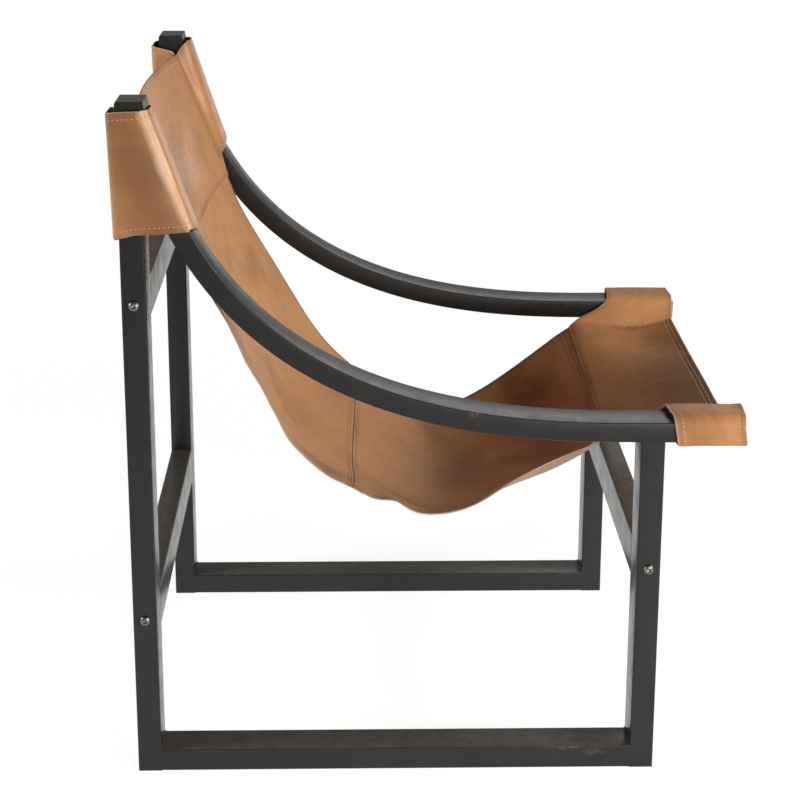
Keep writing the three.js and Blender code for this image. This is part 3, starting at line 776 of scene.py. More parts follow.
def weld_bead(name, side, forward, way, node_name):
    """A bead: a quarter circle in the corner, its radius rippled along the tube's width."""
    steps = np.linspace(-1, 1, 61)
    turn = np.linspace(0, np.pi / 2, 7)
    rounded_ends = np.sqrt(np.clip(1.02 - steps ** 8, 0.05, 1))
    radius = bead_radius * (1 + ripple_share * np.cos(steps * ripple_turning)) * rounded_ends
    bulge = radius[:, None] * (0.82 + 0.18 * np.sin(2 * turn))
    across = (side * tube_middle + steps * (tube_width / 2 - bead_inset))[:, None]
    bead = placed(across, forward + way * bulge * np.cos(turn), tube_depth + bulge * np.sin(turn))
    grid = np.concatenate([placed(across, forward, tube_depth), bead], axis=1)
    rows, columns = grid.shape[:2]
    number = np.arange(rows * columns).reshape(rows, columns)
    faces = [*grid_faces(rows, columns, True).tolist(), number[0].tolist(), number[-1][::-1].tolist()]
    if way < 0:
        faces = [face[::-1] for face in faces]
    node_piece(name, grid, faces, node_name, *frame_paint, crease=60)


for prefix, side in sides:
    weld_bead(f"{prefix}_rear_bead", side, tube_depth, 1, f"{prefix}_rear_weld")
    weld_bead(f"{prefix}_front_bead", side, base_depth - tube_depth, -1, f"{prefix}_front_weld")
print("caps, stretchers and welds made")

# %% [markdown]
# ## Button-head bolts
#
# A lathe turns a bolt, so one profile spun round an axis makes it. The hexagon socket isn't round:
# its wall lies at the distance of a hexagon's side, which grows towards the corners as one over
# the cosine of the angle from the side's middle. The spin is worked out here as rings of points,
# which leave no seam.

# %% Bolts
head_radius = 0.0065
head_edge = 0.0012
head_height = 0.0044
head_turning = np.radians(60)
socket_depth = 0.0026
socket_reach = 0.0025
socket_lip_width = 0.0002
socket_lip_depth = 0.0003
drill_share = 0.3  # the drill's flat, as a share of the socket
drill_depth = 0.0006
drill_tip_depth = 0.0007
shank_radius = 0.004
shank_length = 0.064


def bolt_piece(prefix, side, stretcher_name):
    """A bolt's head and shank as rings: each ring is [radius, distance out of the tube's face]."""
    forward, height = stretcher_places[stretcher_name]
    angle = np.arange(72) * np.pi / 36
    sector = (angle + np.pi / 6) % (np.pi / 3) - np.pi / 6
    hexagon = socket_reach / np.cos(sector)
    crown = np.linspace(0, head_turning, 9)
    dome = head_edge + (head_height - head_edge) * np.sin(crown) / np.sin(head_turning)
    socket_floor = head_height - socket_depth
    rings = [
        (shank_radius, -shank_length), (shank_radius, 0), (head_radius, 0),
        *zip(head_radius * np.cos(crown), dome),
        (hexagon + socket_lip_width, head_height), (hexagon, head_height - socket_lip_depth),
        (hexagon, socket_floor), (drill_share * hexagon, socket_floor - drill_depth),
    ]
    radius = np.stack([ring[0] + 0 * angle for ring in rings])
    out = np.array([[ring[1]] for ring in rings])
    round_forward = forward + radius * np.cos(angle)
    grid = placed(side * (half_width + out), round_forward, height + radius * np.sin(angle))
    hub_out = np.array([-shank_length, socket_floor - drill_tip_depth])
    points, faces = closed_rings(grid, placed(side * (half_width + hub_out), forward, height), side < 0)
    node_piece(f"{prefix}_{stretcher_name}_screw", points, faces, f"{prefix}_{stretcher_name}_bolt",
               bolt_steel, "stainless", crease=30)


for stretcher_name in stretcher_places:
    for prefix, side in sides:
        bolt_piece(prefix, side, stretcher_name)
print("bolts made:", 2 * len(stretcher_places))

# %% [markdown]
# ## The lines of the sling
#
# Leather hung between two frames is pulled straight at its sewn edges and sags between them. Three
# lines describe it from the top of the back to the front hem: its two edges and its middle. Each
# is a natural cubic spline, the curve of a bent lath through a few places. Across, the sling is a
# parabola through the three lines, which is the shape a slack sheet takes.


# %% Lines from places
def lath_through(places, samples):
    """A natural cubic spline: the curve that bends least through the places.

    Its knots are spaced by the square root of the distance between places. Solving one set of
    equations gives the bend at each knot, so that slopes agree there and both ends are unbent.
    Samples count places, so 2.5 is halfway through the stretch after the third place.
    """
    places = np.asarray(places, dtype=float)
    gap = np.sqrt(np.linalg.norm(np.diff(places, axis=0), axis=1))
    count = len(places)
    system = np.eye(count)
    target = np.zeros_like(places)
    inner = np.arange(1, count - 1)
    system[inner, inner - 1] = gap[:-1]
    system[inner, inner] = 2 * (gap[:-1] + gap[1:])
    system[inner, inner + 1] = gap[1:]
    slope = np.diff(places, axis=0) / gap[:, None]
    target[1:-1] = 6 * np.diff(slope, axis=0)
    curl = np.linalg.solve(system, target)
    stretch = np.clip(np.floor(samples).astype(int), 0, count - 2)
    right = (samples - stretch)[:, None]
    left = 1 - right
    step = gap[stretch][:, None]
    bent = (left ** 3 - left) * curl[stretch] + (right ** 3 - right) * curl[stretch + 1]
    return left * places[stretch] + right * places[stretch + 1] + step ** 2 / 6 * bent


seam_inset = 0.011  # from a tube's inner face to the sewn line
seam_slack = 0.0033  # and from there to the edge of the sling as it hangs
seam_setback_top = 0.014  # the sewn line behind a rear sleeve's front, at its upper edge
seam_setback_bottom = 0.004  # and at its lower edge
sling_drop = 0.0255  # the sling's top edge below the posts' top
sleeve_drop = 0.014  # a rear sleeve's upper edge below the posts' top
sleeve_length = 0.149
hem_setback = 0.003  # the hem behind the arms' front end
hang_setback = 0.143  # where the gathered front begins, behind the arms' front end
top_bow = 0.023  # how far the middle hangs behind the sewn lines at the top
sleeve_bow = 0.0355  # and at the rear sleeves' lower edge

sling_top = total_height - sling_drop
sleeve_top = total_height - sleeve_drop
sleeve_bottom = sleeve_top - sleeve_length
sling_half = half_width - tube_width - seam_inset - seam_slack
hem_forward = arm_end - hem_setback
hang_forward = arm_end - hang_setback

# Places of [forward, height], between the rear sleeves and the front ones.
right_edge_places = [
    [0.1030, 0.6135], [0.1415, 0.5385], [0.1790, 0.4600], [0.2305, 0.3850], [0.3080, 0.3465],
    [0.3850, 0.3235], [0.4675, 0.3605], [0.5470, 0.4015], [0.5820, 0.4180], [0.6120, 0.4340],
]
left_edge_places = [
    [0.1040, 0.6335], [0.1485, 0.5500], [0.1890, 0.4800], [0.2385, 0.4055], [0.3085, 0.3470],
    [0.3935, 0.3085], [0.4680, 0.3325], [0.5450, 0.3885], [0.5800, 0.4160], [0.6120, 0.4340],
]
middle_places = [
    [0.0720, 0.6100], [0.1140, 0.5275], [0.1510, 0.4500], [0.2040, 0.3660], [0.2860, 0.3060],
    [0.3900, 0.2665], [0.4960, 0.2960], [0.5785, 0.3430], [0.6040, 0.3710], [0.6240, 0.3850],
]
hem_heights = {  # each line's height halfway along the gathered front, and at the hem
    "right": (0.4330, 0.4380),
    "left": (0.4310, 0.4405),
    "middle": (0.4110, 0.4395),
}


def sleeve_share(height):
    """How far up a rear sleeve a height is, from 0 at its lower edge to 1 at its upper edge."""
    return (height - sleeve_bottom) / (sleeve_top - sleeve_bottom)


def sleeve_front_at(height):
    """How far forward a rear sleeve's front lies: its leather spans the arm's hollow bend straight."""
    low, high = arm_front_at([sleeve_bottom, sleeve_top])
    return np.maximum(arm_front_at(height), low + (high - low) * sleeve_share(height))


def rear_seam_at(height):
    """How far forward a rear sleeve is sewn to the back panel: a straight line down the sleeve."""
    setback = seam_setback_bottom + (seam_setback_top - seam_setback_bottom) * sleeve_share(height)
    return sleeve_front_at(height) - setback


def sling_places(between, top, sleeve, gathered_height, hem_height):
    """A line's places from top edge to hem. At the rear sleeves it hangs behind the sewn line."""
    lean = np.array([np.cos(arm_lean), np.sin(arm_lean)])
    heights = np.array([sling_top, (sling_top + sleeve_bottom) / 2, sleeve_bottom])
    sewn = np.stack([rear_seam_at(heights), heights], axis=1)
    bows = np.array([top, (top + sleeve) / 2, sleeve])
    gathered = [(hang_forward + hem_forward) / 2, gathered_height]
    return [*(sewn - bows[:, None] * lean), *between, gathered, [hem_forward, hem_height]]


line_places = {
    "right": sling_places(right_edge_places, 0, 0, *hem_heights["right"]),
    "left": sling_places(left_edge_places, 0, 0, *hem_heights["left"]),
    "middle": sling_places(middle_places, top_bow, sleeve_bow, *hem_heights["middle"]),
}
fine_samples = np.linspace(0, len(line_places["middle"]) - 1, 2001)
middle_line = lath_through(line_places["middle"], fine_samples)
middle_lengths = lengths_along(middle_line, 0)
sling_length = middle_lengths[-1]
print("sling length along its middle:", round(sling_length, 4))

# %% [markdown]
# ## The sling as one surface
#
# A place on the sling is a length down from the top edge and a share across, from -1 at the
# sitter's right to 1. The free edges aren't perfectly even: worn leather ripples there, so a few
# soft waves fade from the edges inward.

# %% The sling's surface
edge_ripples = [  # length down, height of the wave, its half-width
    (0.270, 0.0020, 0.022), (0.340, -0.0040, 0.030), (0.398, -0.0010, 0.016), (0.448, -0.0022, 0.024),
    (0.505, 0.0010, 0.022), (0.605, -0.0040, 0.022), (0.642, 0.0040, 0.020), (0.690, -0.0018, 0.026),
    (0.790, -0.0035, 0.045),
]
ripple_reach = 0.05
broad_wave = 0.0019
fine_wave = 0.0008
wave_reach = 0.06
free_edge_power = 0.4
free_from, free_to = 0.155, 0.800  # lengths down between which the edges hang free
free_in, free_out = 0.15, 0.10  # and over what lengths that begins and ends
sample_step = 0.01


def sling_at(length, share):
    """Points of the sling for arrays of lengths and shares across that match or broadcast.

    Each cross-section starts as the straight chord between the two edges, and drops from it by
    the middle's depth times 1 - share². Below the sleeves the edges are free and hang flatter, so
    there the drop is raised to a power. Soft waves are then added along the surface's own normal.
    """
    length, share = np.broadcast_arrays(length, share)
    flat_shape = (*length.shape, 2)
    sample = np.interp(length.ravel(), middle_lengths, fine_samples)
    right, left, middle = (
        lath_through(line_places[key], sample).reshape(flat_shape) for key in ("right", "left", "middle")
    )
    ahead = lath_through(line_places["middle"], np.minimum(sample + sample_step, fine_samples[-1]))
    behind = lath_through(line_places["middle"], np.maximum(sample - sample_step, 0))
    tangent = unit(ahead - behind).reshape(flat_shape)
    chord = right + (left - right) * (share[..., None] + 1) / 2
    free_here = easing(length - free_from, free_in) * (1 - easing(length - free_to, free_out))
    power = 1 + free_edge_power * free_here
    drop = np.clip(1 - share ** 2, 0, 1) ** power
    profile = chord + (middle - (right + left) / 2) * drop[..., None]
    wave = broad_wave * np.sin(17 * length + 2.6 * share) * np.cos(9 * length - 1.9 * share)
    wave = wave + fine_wave * np.sin(46 * length + 5 * share + 1.3)
    wave = wave * np.clip(1 - share ** 4, 0, 1) * easing(length, wave_reach)
    fade = np.exp(-((1 + share) * sling_half / ripple_reach))
    for centre, height, half_length in edge_ripples:
        wave = wave + height * fade * np.exp(-((length - centre) / half_length) ** 2)
    through = np.stack([-tangent[..., 1], tangent[..., 0]], axis=-1)
    profile = profile + through * wave[..., None]
    return placed(share * sling_half, profile[..., 0], profile[..., 1])


edge_shares = np.array([0.002, 0.005, 0.011])
across_shares = np.unique(np.concatenate([np.linspace(-1, 1, 81), 1 - edge_shares, edge_shares - 1]))
seam_shares = np.array([0.181, 0.528, 0.867])
seam_lengths = seam_shares * sling_length
seam_reaches = [0.05, 0.13, 0.13]  # how far from each seam its bow dies out
print("seams at lengths", seam_lengths.round(3))

back_dip, back_rise = 0.0165, 0.0073
lumbar_dip, lumbar_rise = 0.0298, 0.0276
front_slant = 0.022


def skewed(length, share):
    """Lengths down the sling whose seams are bowed and slanted, as the panels are cut.

    The seams under the back and lumbar panels lie further down the sling in its middle and less far
    at its edges, and the last seam slants backward at the sitter's right. At each seam the length is
    moved by an amount that depends on the share across, and the move fades to nothing over the
    seam's reach on both sides.
    """
    dip = 1 - share ** 2
    moves = [back_dip * dip ** 2 - back_rise, lumbar_dip * dip - lumbar_rise,
             -front_slant * ((1 - share) / 2) ** 4]
    for seam, move, reach in zip(seam_lengths, moves, seam_reaches):
        length = length + move * (1 - easing(np.abs(length - seam), reach))
    return length


end_steps = np.array([0.0014, 0.0028])
stitch_steps = np.array([-0.0022, -0.0011, 0, 0.0011, 0.0022])
least_step = 0.0004
groove_depth = 0.00025
groove_width = 0.0014


def lengths_with(start, end, pitch, rows_of_stitches=()):
    """Lengths from start to end, closer together at both ends and beside each row of stitches."""
    even = np.linspace(start, end, int(round((end - start) / pitch)) + 1)
    close = [start + end_steps, end - end_steps, *(row + stitch_steps for row in rows_of_stitches)]
    every = np.unique(np.concatenate([even, *close]).round(5))
    kept = every[(every >= start) & (every <= end)]
    wanted = np.concatenate([[True], np.diff(kept) > least_step])
    return kept[wanted]


def pressed(length, rows_of_stitches):
    """How deep a row of stitches pulls the leather in: a narrow bell across each row."""
    depth = np.zeros_like(length)
    for row in rows_of_stitches:
        depth = depth - groove_depth * np.exp(-((length - row) / groove_width) ** 2)
    return depth


seam_lap = 0.018
lap_gap = 0.0001
pared_share = 0.5  # a hide's thickness where it is pared for a lap
feather_share = 0.3  # and at the hidden end under the lap
edge_pared_share = 0.7  # and along the free edges, over a short reach
edge_pared_reach = 0.012


def lap_lift(length, seam, side, is_upper):
    """How far a panel steps up or down at a lapped seam, whose two pared hides make one thickness.

    Both panels ease back to the middle inside themselves. The lower one dives past the seam, under
    the growing thickness of the upper one. Side is the way from the seam into the panel.
    """
    into = easing((length - seam) * side, seam_lap)
    past = easing((seam - length) * side, seam_lap)
    step = leather * pared_share / 2 * (1 - into)
    if is_upper:
        return step
    dive_share = 1 - pared_share + feather_share / 2 - pared_share / 2
    return -step - (1 - into) * lap_gap - past * leather * dive_share


def pared_at(length, seam, side):
    """A panel's thickness as a share of the hide's: pared at its seam, feathered past it."""
    into = easing((length - seam) * side, seam_lap)
    past = easing((seam - length) * side, seam_lap)
    return pared_share + (1 - pared_share) * into - (pared_share - feather_share) * past


def seamed_surface(lengths, lift, rows_of_stitches):
    """The sling at a panel's lengths, lifted where it laps and pressed in by its stitches."""
    surface = sling_at(skewed(lengths[:, None], across_shares[None]), across_shares[None])
    lift = lift + pressed(lengths, rows_of_stitches)
    return surface + normals_of(surface) * lift[:, None, None]


across_distance = (1 - np.abs(across_shares)) * sling_half
pared_edges = edge_pared_share + (1 - edge_pared_share) * easing(across_distance, edge_pared_reach)

# %% [markdown]
# ## Leather with a thickness
#
# Saddle leather for a sling is two to three millimetres thick, and its cut edge is a pale line all
# round each panel. So a panel is a middle surface, moved half a thickness both ways along its
# normals, with a rim between that bulges a little. Grain side, flesh side and cut rim are three
# finishes on one mesh. Each point also keeps its distance from the rim, in an attribute that the
# leather recipe reads to darken the grain where the rim has been rubbed.

# %% A hide from its middle surface
rim_bulge_share = 0.8  # of half the thickness
grain_number, flesh_number, cut_number = range(3)


def hide_piece(name, middle, nodes, grain_finish,
               kept=None, dark_rows=(), pale_rows=(), thickness=leather):
    """A closed hide from a grid of points. The grain lies where the grid's normals point.

    The top and bottom are the middle moved by half the thickness both ways along the normals. An
    edge that only one kept face has is part of the rim, and its outward direction is the cross
    product of the edge and the normal. The rim along a dark row takes the grain's finish, and the
    faces of a pale row take the cut edge's.
    """
    rows, columns = middle.shape[:2]
    count = rows * columns
    points = middle.reshape(-1, 3)
    normal = normals_of(middle)
    flat_normal = normal.reshape(-1, 3)
    upper = grid_faces(rows, columns)
    if kept is not None:
        upper = upper[kept.ravel()]
    starts = upper.ravel()
    ends = np.roll(upper, -1, axis=1).ravel()
    alone = ~np.isin(starts * count + ends, ends * count + starts)
    starts, ends = starts[alone], ends[alone]
    outward = np.zeros_like(points)
    edge_outward = np.cross(unit(points[ends] - points[starts]), flat_normal[starts])
    np.add.at(outward, starts, edge_outward)
    np.add.at(outward, ends, edge_outward)
    rim = np.unique(starts)
    ring = np.zeros(count, dtype=int)
    ring[rim] = 2 * count + np.arange(len(rim))
    half = np.broadcast_to(thickness, (rows, columns)).reshape(-1, 1) / 2
    top = points + flat_normal * half
    bottom = points - flat_normal * half
    bulge = points[rim] + unit(outward[rim]) * half[rim] * rim_bulge_share
    lower = upper[:, ::-1] + count
    rim_upper = np.stack([ends, starts, ring[starts], ring[ends]], axis=1)
    rim_lower = np.stack([ring[ends], ring[starts], starts + count, ends + count], axis=1)
    faces = np.concatenate([upper, lower, rim_upper, rim_lower])
    edge_row = starts // columns
    is_dark = np.isin(edge_row, dark_rows) & (edge_row == ends // columns)
    rim_finish = np.where(is_dark, grain_number, cut_number)
    top_finish = np.where(np.isin(upper[:, 0] // columns, pale_rows), cut_number, grain_number)
    finish_numbers = np.concatenate([top_finish, np.full(len(upper), flesh_number), rim_finish, rim_finish])
    along = lengths_along(middle, 1)
    along = along - along[:, columns // 2][:, None]
    down = lengths_along(middle, 0)[:, [columns // 2]] + 0 * along
    flat_place = np.stack([along, down], axis=-1).reshape(-1, 2)
    place = np.concatenate([flat_place, flat_place, flat_place[rim]])
    square_to_rim = (points ** 2).sum(axis=1)[:, None] + (points[rim] ** 2).sum(axis=1)
    square_to_rim = square_to_rim - 2 * points @ points[rim].T
    from_edge = np.sqrt(np.clip(square_to_rim.min(axis=1), 0, None))
    from_edge = np.concatenate([from_edge, from_edge, from_edge[rim]])
    used, faces = np.unique(faces, return_inverse=True)
    faces = faces.reshape(-1, 4)
    piece = add_piece(name, np.concatenate([top, bottom, bulge])[used], faces.tolist(),
                      [grain_finish, flesh_side, cut_edge], finish_numbers, place[used], crease=50)
    edge_layer = piece.data.attributes.new("from_edge", "FLOAT", "POINT")
    edge_layer.data.foreach_set("value", from_edge[used].astype(np.float32))
    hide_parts(*nodes)
    return top.reshape(middle.shape), normal


# %% [markdown]
# ## Stitches
#
# Thread shows on leather as short stitches, half sunk and narrow at both ends, where it enters its
# holes. One stitch is a small spindle of a few dozen faces. Its copies are placed along a path,
# each turned to follow it, all worked out in one array.

# %% A row of stitches
stitch_pitch = 0.0056
stitch_length = 0.0036
stitch_width = 0.0012
thick_stitch_width = 0.0017
way_step = 0.001
spindle_shares = np.array([-0.5, -0.42, -0.2, 0, 0.2, 0.42, 0.5])
spindle_narrowing = 1.94
spindle_swell_shares = np.sqrt(np.clip(1 - (spindle_narrowing * spindle_shares) ** 2, 0.02, 1))
spindle_turn = np.arange(6) * np.pi / 3


def read_at(wanted, lengths, points):
    """Points on a path at the wanted distances along it."""
    return np.stack([np.interp(wanted, lengths, points[:, axis]) for axis in range(3)], axis=-1)


def stitches_along(paths, width):
    """Points and faces of stitches along paths of [points, normals].

    A spindle's ring has the radius of an ellipse there: the square root of 1 minus the square of
    the narrowing times the ring's share of the length from the middle. It stands on the frame made
    by the path's direction, the normal and their cross.
    """
    aside = spindle_swell_shares[:, None] * np.cos(spindle_turn) * width / 2
    above = spindle_swell_shares[:, None] * np.sin(spindle_turn) * width / 2.2
    all_points = []
    for path, normal in paths:
        lengths = lengths_along(path, 0)
        count = max(int(lengths[-1] / stitch_pitch), 1)
        centres = (np.arange(count) + 0.5) * lengths[-1] / count
        way = unit(read_at(centres + way_step, lengths, path) - read_at(centres - way_step, lengths, path))
        out = unit(read_at(centres, lengths, normal))
        beside = unit(np.cross(way, out))
        stitch = (read_at(centres, lengths, path)[:, None, None]
                  + (spindle_shares * stitch_length)[None, :, None, None] * way[:, None, None]
                  + aside[None, :, :, None] * beside[:, None, None]
                  + above[None, :, :, None] * out[:, None, None])
        all_points.append(stitch.reshape(-1, 3))
    points = np.concatenate(all_points)
    rings, around = len(spindle_shares), len(spindle_turn)
    starts = np.arange(len(points) // (rings * around)) * rings * around
    quads = (grid_faces(rings, around, True)[None] + starts[:, None, None]).reshape(-1, 4)
    ends = np.array([np.arange(around), rings * around - 1 - np.arange(around)])
    caps = (ends[None] + starts[:, None, None]).reshape(-1, around)
    return points, [*quads.tolist(), *caps.tolist()]


def stitch_piece(name, paths, finish, width=stitch_width):
    """One object for all the stitches of a seam."""
    points, faces = stitches_along(paths, width)
    piece = add_piece(name, points, faces, [finish], crease=80)
    print(f"{name}: {len(paths)} rows of stitches, {len(faces)} faces")


# %% [markdown]
# ## The lumbar and seat panels
#
# These two panels only hang between the frames. The lumbar panel's top runs under the back panel,
# whose cut edge faces down and shows as a dark line. Its lower end runs under the seat panel, whose
# pale cut edge shows, and two rows of stitches lie beside that edge. Every hidden end is pared thin.

# %% Lumbar and seat
row_pitch = 0.005
lumbar_insets = (0.0060, 0.0105)
seat_insets = (0.0055, 0.0100)


def hung_panel(panel, start, end, laps, insets, pale_rows=()):
    """One panel that only hangs, made from its start to its end. Returns its rows of stitches.

    A lap is [seam, the way from it into the panel, whether the panel lies on top]. The insets are
    the rows' distances from the second seam.
    """
    rows_of_stitches = laps[1][0] - np.array(insets)
    lengths = lengths_with(start, end, row_pitch, rows_of_stitches)
    lift = lap_lift(lengths, *laps[0]) + lap_lift(lengths, *laps[1])
    pared = np.minimum(pared_at(lengths, *laps[0][:2]), pared_at(lengths, *laps[1][:2]))
    top, normal = hide_piece(
        f"sling_{panel}_leather", seamed_surface(lengths, lift, rows_of_stitches), [f"sling_{panel}_panel"],
        panel_hides[panel], pale_rows=pale_rows,
        thickness=leather * pared[:, None] * pared_edges)
    rows = [int(np.abs(lengths - one).argmin()) for one in rows_of_stitches]
    return [(top[row], normal[row]) for row in rows]


back_seam, lumbar_seam, front_seam = seam_lengths
hung_stitches = {
    "lumbar": hung_panel("lumbar", back_seam - seam_lap, lumbar_seam + seam_lap,
                         [(back_seam, 1, False), (lumbar_seam, -1, False)], lumbar_insets),
    "seat": hung_panel("seat", lumbar_seam, front_seam + seam_lap,
                       [(lumbar_seam, 1, True), (front_seam, -1, False)], seat_insets,
                       pale_rows=[0]),
}
for panel, paths in hung_stitches.items():
    stitch_piece(f"{panel}_stitches", paths, dark_thread)

# %% [markdown]
# ## The back panel and its sleeves
#
# The back is one wide hide. From its middle it runs over the front of each arm, round the outside,
# behind the post and forward along the inside, and is sewn to itself there, so it becomes a sleeve
# at each side. A level section through it is a path with rounded corners. Carried down the post,
# with each point's height of its own, that path makes the panel and both sleeves in one grid.


# %% Paths with rounded corners
def rounded_path(corners, radii, straight_steps, arc_steps):
    """A path through corners [..., corner, 2] with an arc at each inner corner.

    The arc at a corner starts where the distance to the corner is the radius times the tangent of
    half the turn, and its centre lies one radius to the side that the path turns to. A radius is
    one number, or an array with one number for each path.
    """
    way = unit(np.diff(corners, axis=-2))
    pieces = []
    start = corners[..., 0, :]
    for place in range(1, corners.shape[-2] - 1):
        arriving, leaving = way[..., place - 1, :], way[..., place, :]
        crossed = arriving[..., 0] * leaving[..., 1] - arriving[..., 1] * leaving[..., 0]
        turn = np.arctan2(crossed, (arriving * leaving).sum(axis=-1))
        radius = np.asarray(radii[place - 1])[..., None]
        setback = radii[place - 1] * np.tan(np.abs(turn) / 2)
        arc_start = corners[..., place, :] - arriving * setback[..., None]
        aside = np.stack([-arriving[..., 1], arriving[..., 0]], axis=-1) * np.sign(turn)[..., None]
        centre = arc_start + aside * radius
        shares = np.linspace(0, 1, straight_steps[place - 1], endpoint=False)
        pieces.append(start[..., None, :] + (arc_start - start)[..., None, :] * shares[:, None])
        angle = turn[..., None] * np.linspace(0, 1, arc_steps)
        spoke = -aside * radius
        turned = np.stack([
            spoke[..., None, 0] * np.cos(angle) - spoke[..., None, 1] * np.sin(angle),
            spoke[..., None, 0] * np.sin(angle) + spoke[..., None, 1] * np.cos(angle),
        ], axis=-1)
        pieces.append(centre[..., None, :] + turned)
        start = pieces[-1][..., -1, :]
    shares = np.linspace(0, 1, straight_steps[-1] + 1)[1:]
    pieces.append(start[..., None, :] + (corners[..., -1, :] - start)[..., None, :] * shares[:, None])
    return np.concatenate(pieces, axis=-2)


def own_column(section):
    """From paths worked out for every column's height, keeps each column's own point."""
    columns = np.arange(section.shape[-2])
    return section[:, columns, columns]


# %% The back
back_slack_top = 0.007
back_slack_bottom = 0.003
lip_length = 0.014
rear_straights = [4, 10, 6, 10, 1, 14, 4]
rear_arcs = 7
lip_radius, rear_radius, fold_radius, seam_radius = 0.002, 0.0075, 0.0120, 0.0220
rear_bends = len(rear_straights) - 1
rear_marks = [0, *(np.cumsum(rear_straights[:-1]) + rear_arcs * np.arange(rear_bends) + rear_arcs // 2)]
ring_columns = sum(rear_straights) + rear_arcs * rear_bends
rear_marks.append(ring_columns - 1)

# Heights of each rear sleeve's upper edge, then of its lower edge.
sleeve_heights = {  # each list runs from the lip over the corners to the sewn line
    "right": ([0.8340, 0.8360, 0.8440, 0.8465, 0.8485, 0.8500, 0.8465, sling_top],
              [0.6920, 0.6920, 0.6950, 0.6970, 0.7055, 0.7100, 0.6980, 0.6900]),
    "left": ([0.8340, 0.8360, 0.8445, 0.8440, 0.8480, 0.8500, 0.8520, sling_top],
             [0.6920, 0.6920, 0.6950, 0.6970, 0.7035, 0.7070, 0.6980, 0.6900]),
}
front_slack = {"right": 0.000, "left": 0.007}
loose_power = 1.5
loose_fold_share = 0.4
side_slack_top, side_slack_bottom = 0.0042, 0.0095
fold_slack = 0.0020
lip_setback = 0.0062
lip_corner_setback = 0.0040
soft_share = 0.4  # the share of the outer side that turns softly before its fold
soft_slope = 0.25
soft_turning = np.radians(20)
fold_room = 0.0105  # what the fold itself takes of the soft turn
hide_offset = sleeve_clearance + leather / 2  # from a tube's face to the middle of a hide round it
sewn_depth = tube_width + seam_inset


def rear_corners(height, loose):
    """Corners and radii of a rear sleeve's section, as [forward, depth from the outer face].

    The soft turn's radius is the room it has, divided by the tangent of half its turn.
    """
    share = sleeve_share(height)
    level = 0 * height
    back = -(back_slack_bottom + (back_slack_top - back_slack_bottom) * share) - hide_offset
    front = sleeve_front_at(height)
    sewn_line = rear_seam_at(height)
    front_off = loose * np.clip(share, 0, 1) ** loose_power
    fold = front + hide_offset + fold_slack
    soft_turn = soft_share * (fold - back)
    outside = -hide_offset - side_slack_bottom - (side_slack_top - side_slack_bottom) * share
    corners = [
        (sewn_line - lip_setback, sewn_depth + lip_length + level),
        (sewn_line - lip_corner_setback, sewn_depth + level),
        (back, tube_width + hide_offset + level),
        (back, level - hide_offset),
        (fold - soft_turn, outside),
        (fold + loose_fold_share * front_off, outside + soft_turn * soft_slope),
        (front + hide_offset + front_off, tube_width + hide_offset + level),
        (sewn_line, half_width - sling_half + level),
    ]
    soft_radius = (soft_turn - fold_room) / np.tan(soft_turning / 2)
    radii = [lip_radius, rear_radius, rear_radius, soft_radius, fold_radius, seam_radius]
    return np.stack([np.stack(corner, axis=-1) for corner in corners], axis=-2), radii


wrap_pitch = 0.004
hem_inset = 0.0075
sleeve_end_sample = 2.09  # where the rear sleeves end, counted in places of the middle line
sleeve_end = float(np.interp(sleeve_end_sample, fine_samples, middle_lengths))
beside_sleeve = lengths_with(0, sleeve_end, wrap_pitch, [hem_inset, sleeve_end - hem_inset])
below_sleeve = lengths_with(sleeve_end, back_seam, wrap_pitch)
back_lengths = np.concatenate([beside_sleeve[:-1], below_sleeve])
last_sleeve_row = len(beside_sleeve) - 1
share_down = back_lengths / sleeve_end


def sleeve_ring(prefix):
    """Section points of one rear sleeve, [forward, depth], and each point's height."""
    columns = np.arange(ring_columns)
    upper, lower = (np.interp(columns, rear_marks, marks) for marks in sleeve_heights[prefix])
    heights = upper + (lower - upper) * share_down[:, None]
    corners, radii = rear_corners(heights, front_slack[prefix])
    return own_column(rounded_path(corners, radii, rear_straights, rear_arcs)), heights


def soft_bulge(ring_points, amount):
    """Slow waves of a hand-sewn sleeve, up to an amount, along the section's normal."""
    rows, columns = ring_points.shape[:2]
    row = np.linspace(0, 1, rows)[:, None]
    column = np.linspace(0, 1, columns)[None]
    return amount * (np.sin(9 * column + 4 * row) * np.cos(3.1 * row + 12 * column) + 0.4 * np.sin(7 * row))


def with_side(side, depth, forward, height):
    """Section points of a sleeve, placed at one side of the chair."""
    return placed(side * (half_width - depth), forward, height)


def from_end(ring_points):
    """Distance along each row to its last point."""
    along = lengths_along(ring_points, 1)
    return along[:, -1:] - along


def joined(ring_points, edge_points, reach):
    """Moves a sleeve's sewn end onto the panel's edge, fading out over a reach of the path."""
    shift = edge_points - ring_points[:, -1]
    weight = 1 - easing(from_end(ring_points), reach)
    return ring_points + weight[..., None] * shift[:, None]


def relaxed(grid, centre_columns, reach, passes):
    """Averages neighbours along the rows near some columns, so that a fold there has no hard line."""
    weight = np.zeros(grid.shape[1])
    for centre in centre_columns:
        weight = np.maximum(weight, np.clip(1 - np.abs(np.arange(len(weight)) - centre) / reach, 0, 1))
    weight = weight[None, 1:-1, None] * 0.5
    for _ in range(passes):
        average = (grid[:, :-2] + grid[:, 2:]) / 2
        grid = np.concatenate([
            grid[:, :1], grid[:, 1:-1] + (average - grid[:, 1:-1]) * weight, grid[:, -1:],
        ], axis=1)
    return grid


relaxed_columns, relaxing_passes = 5, 6


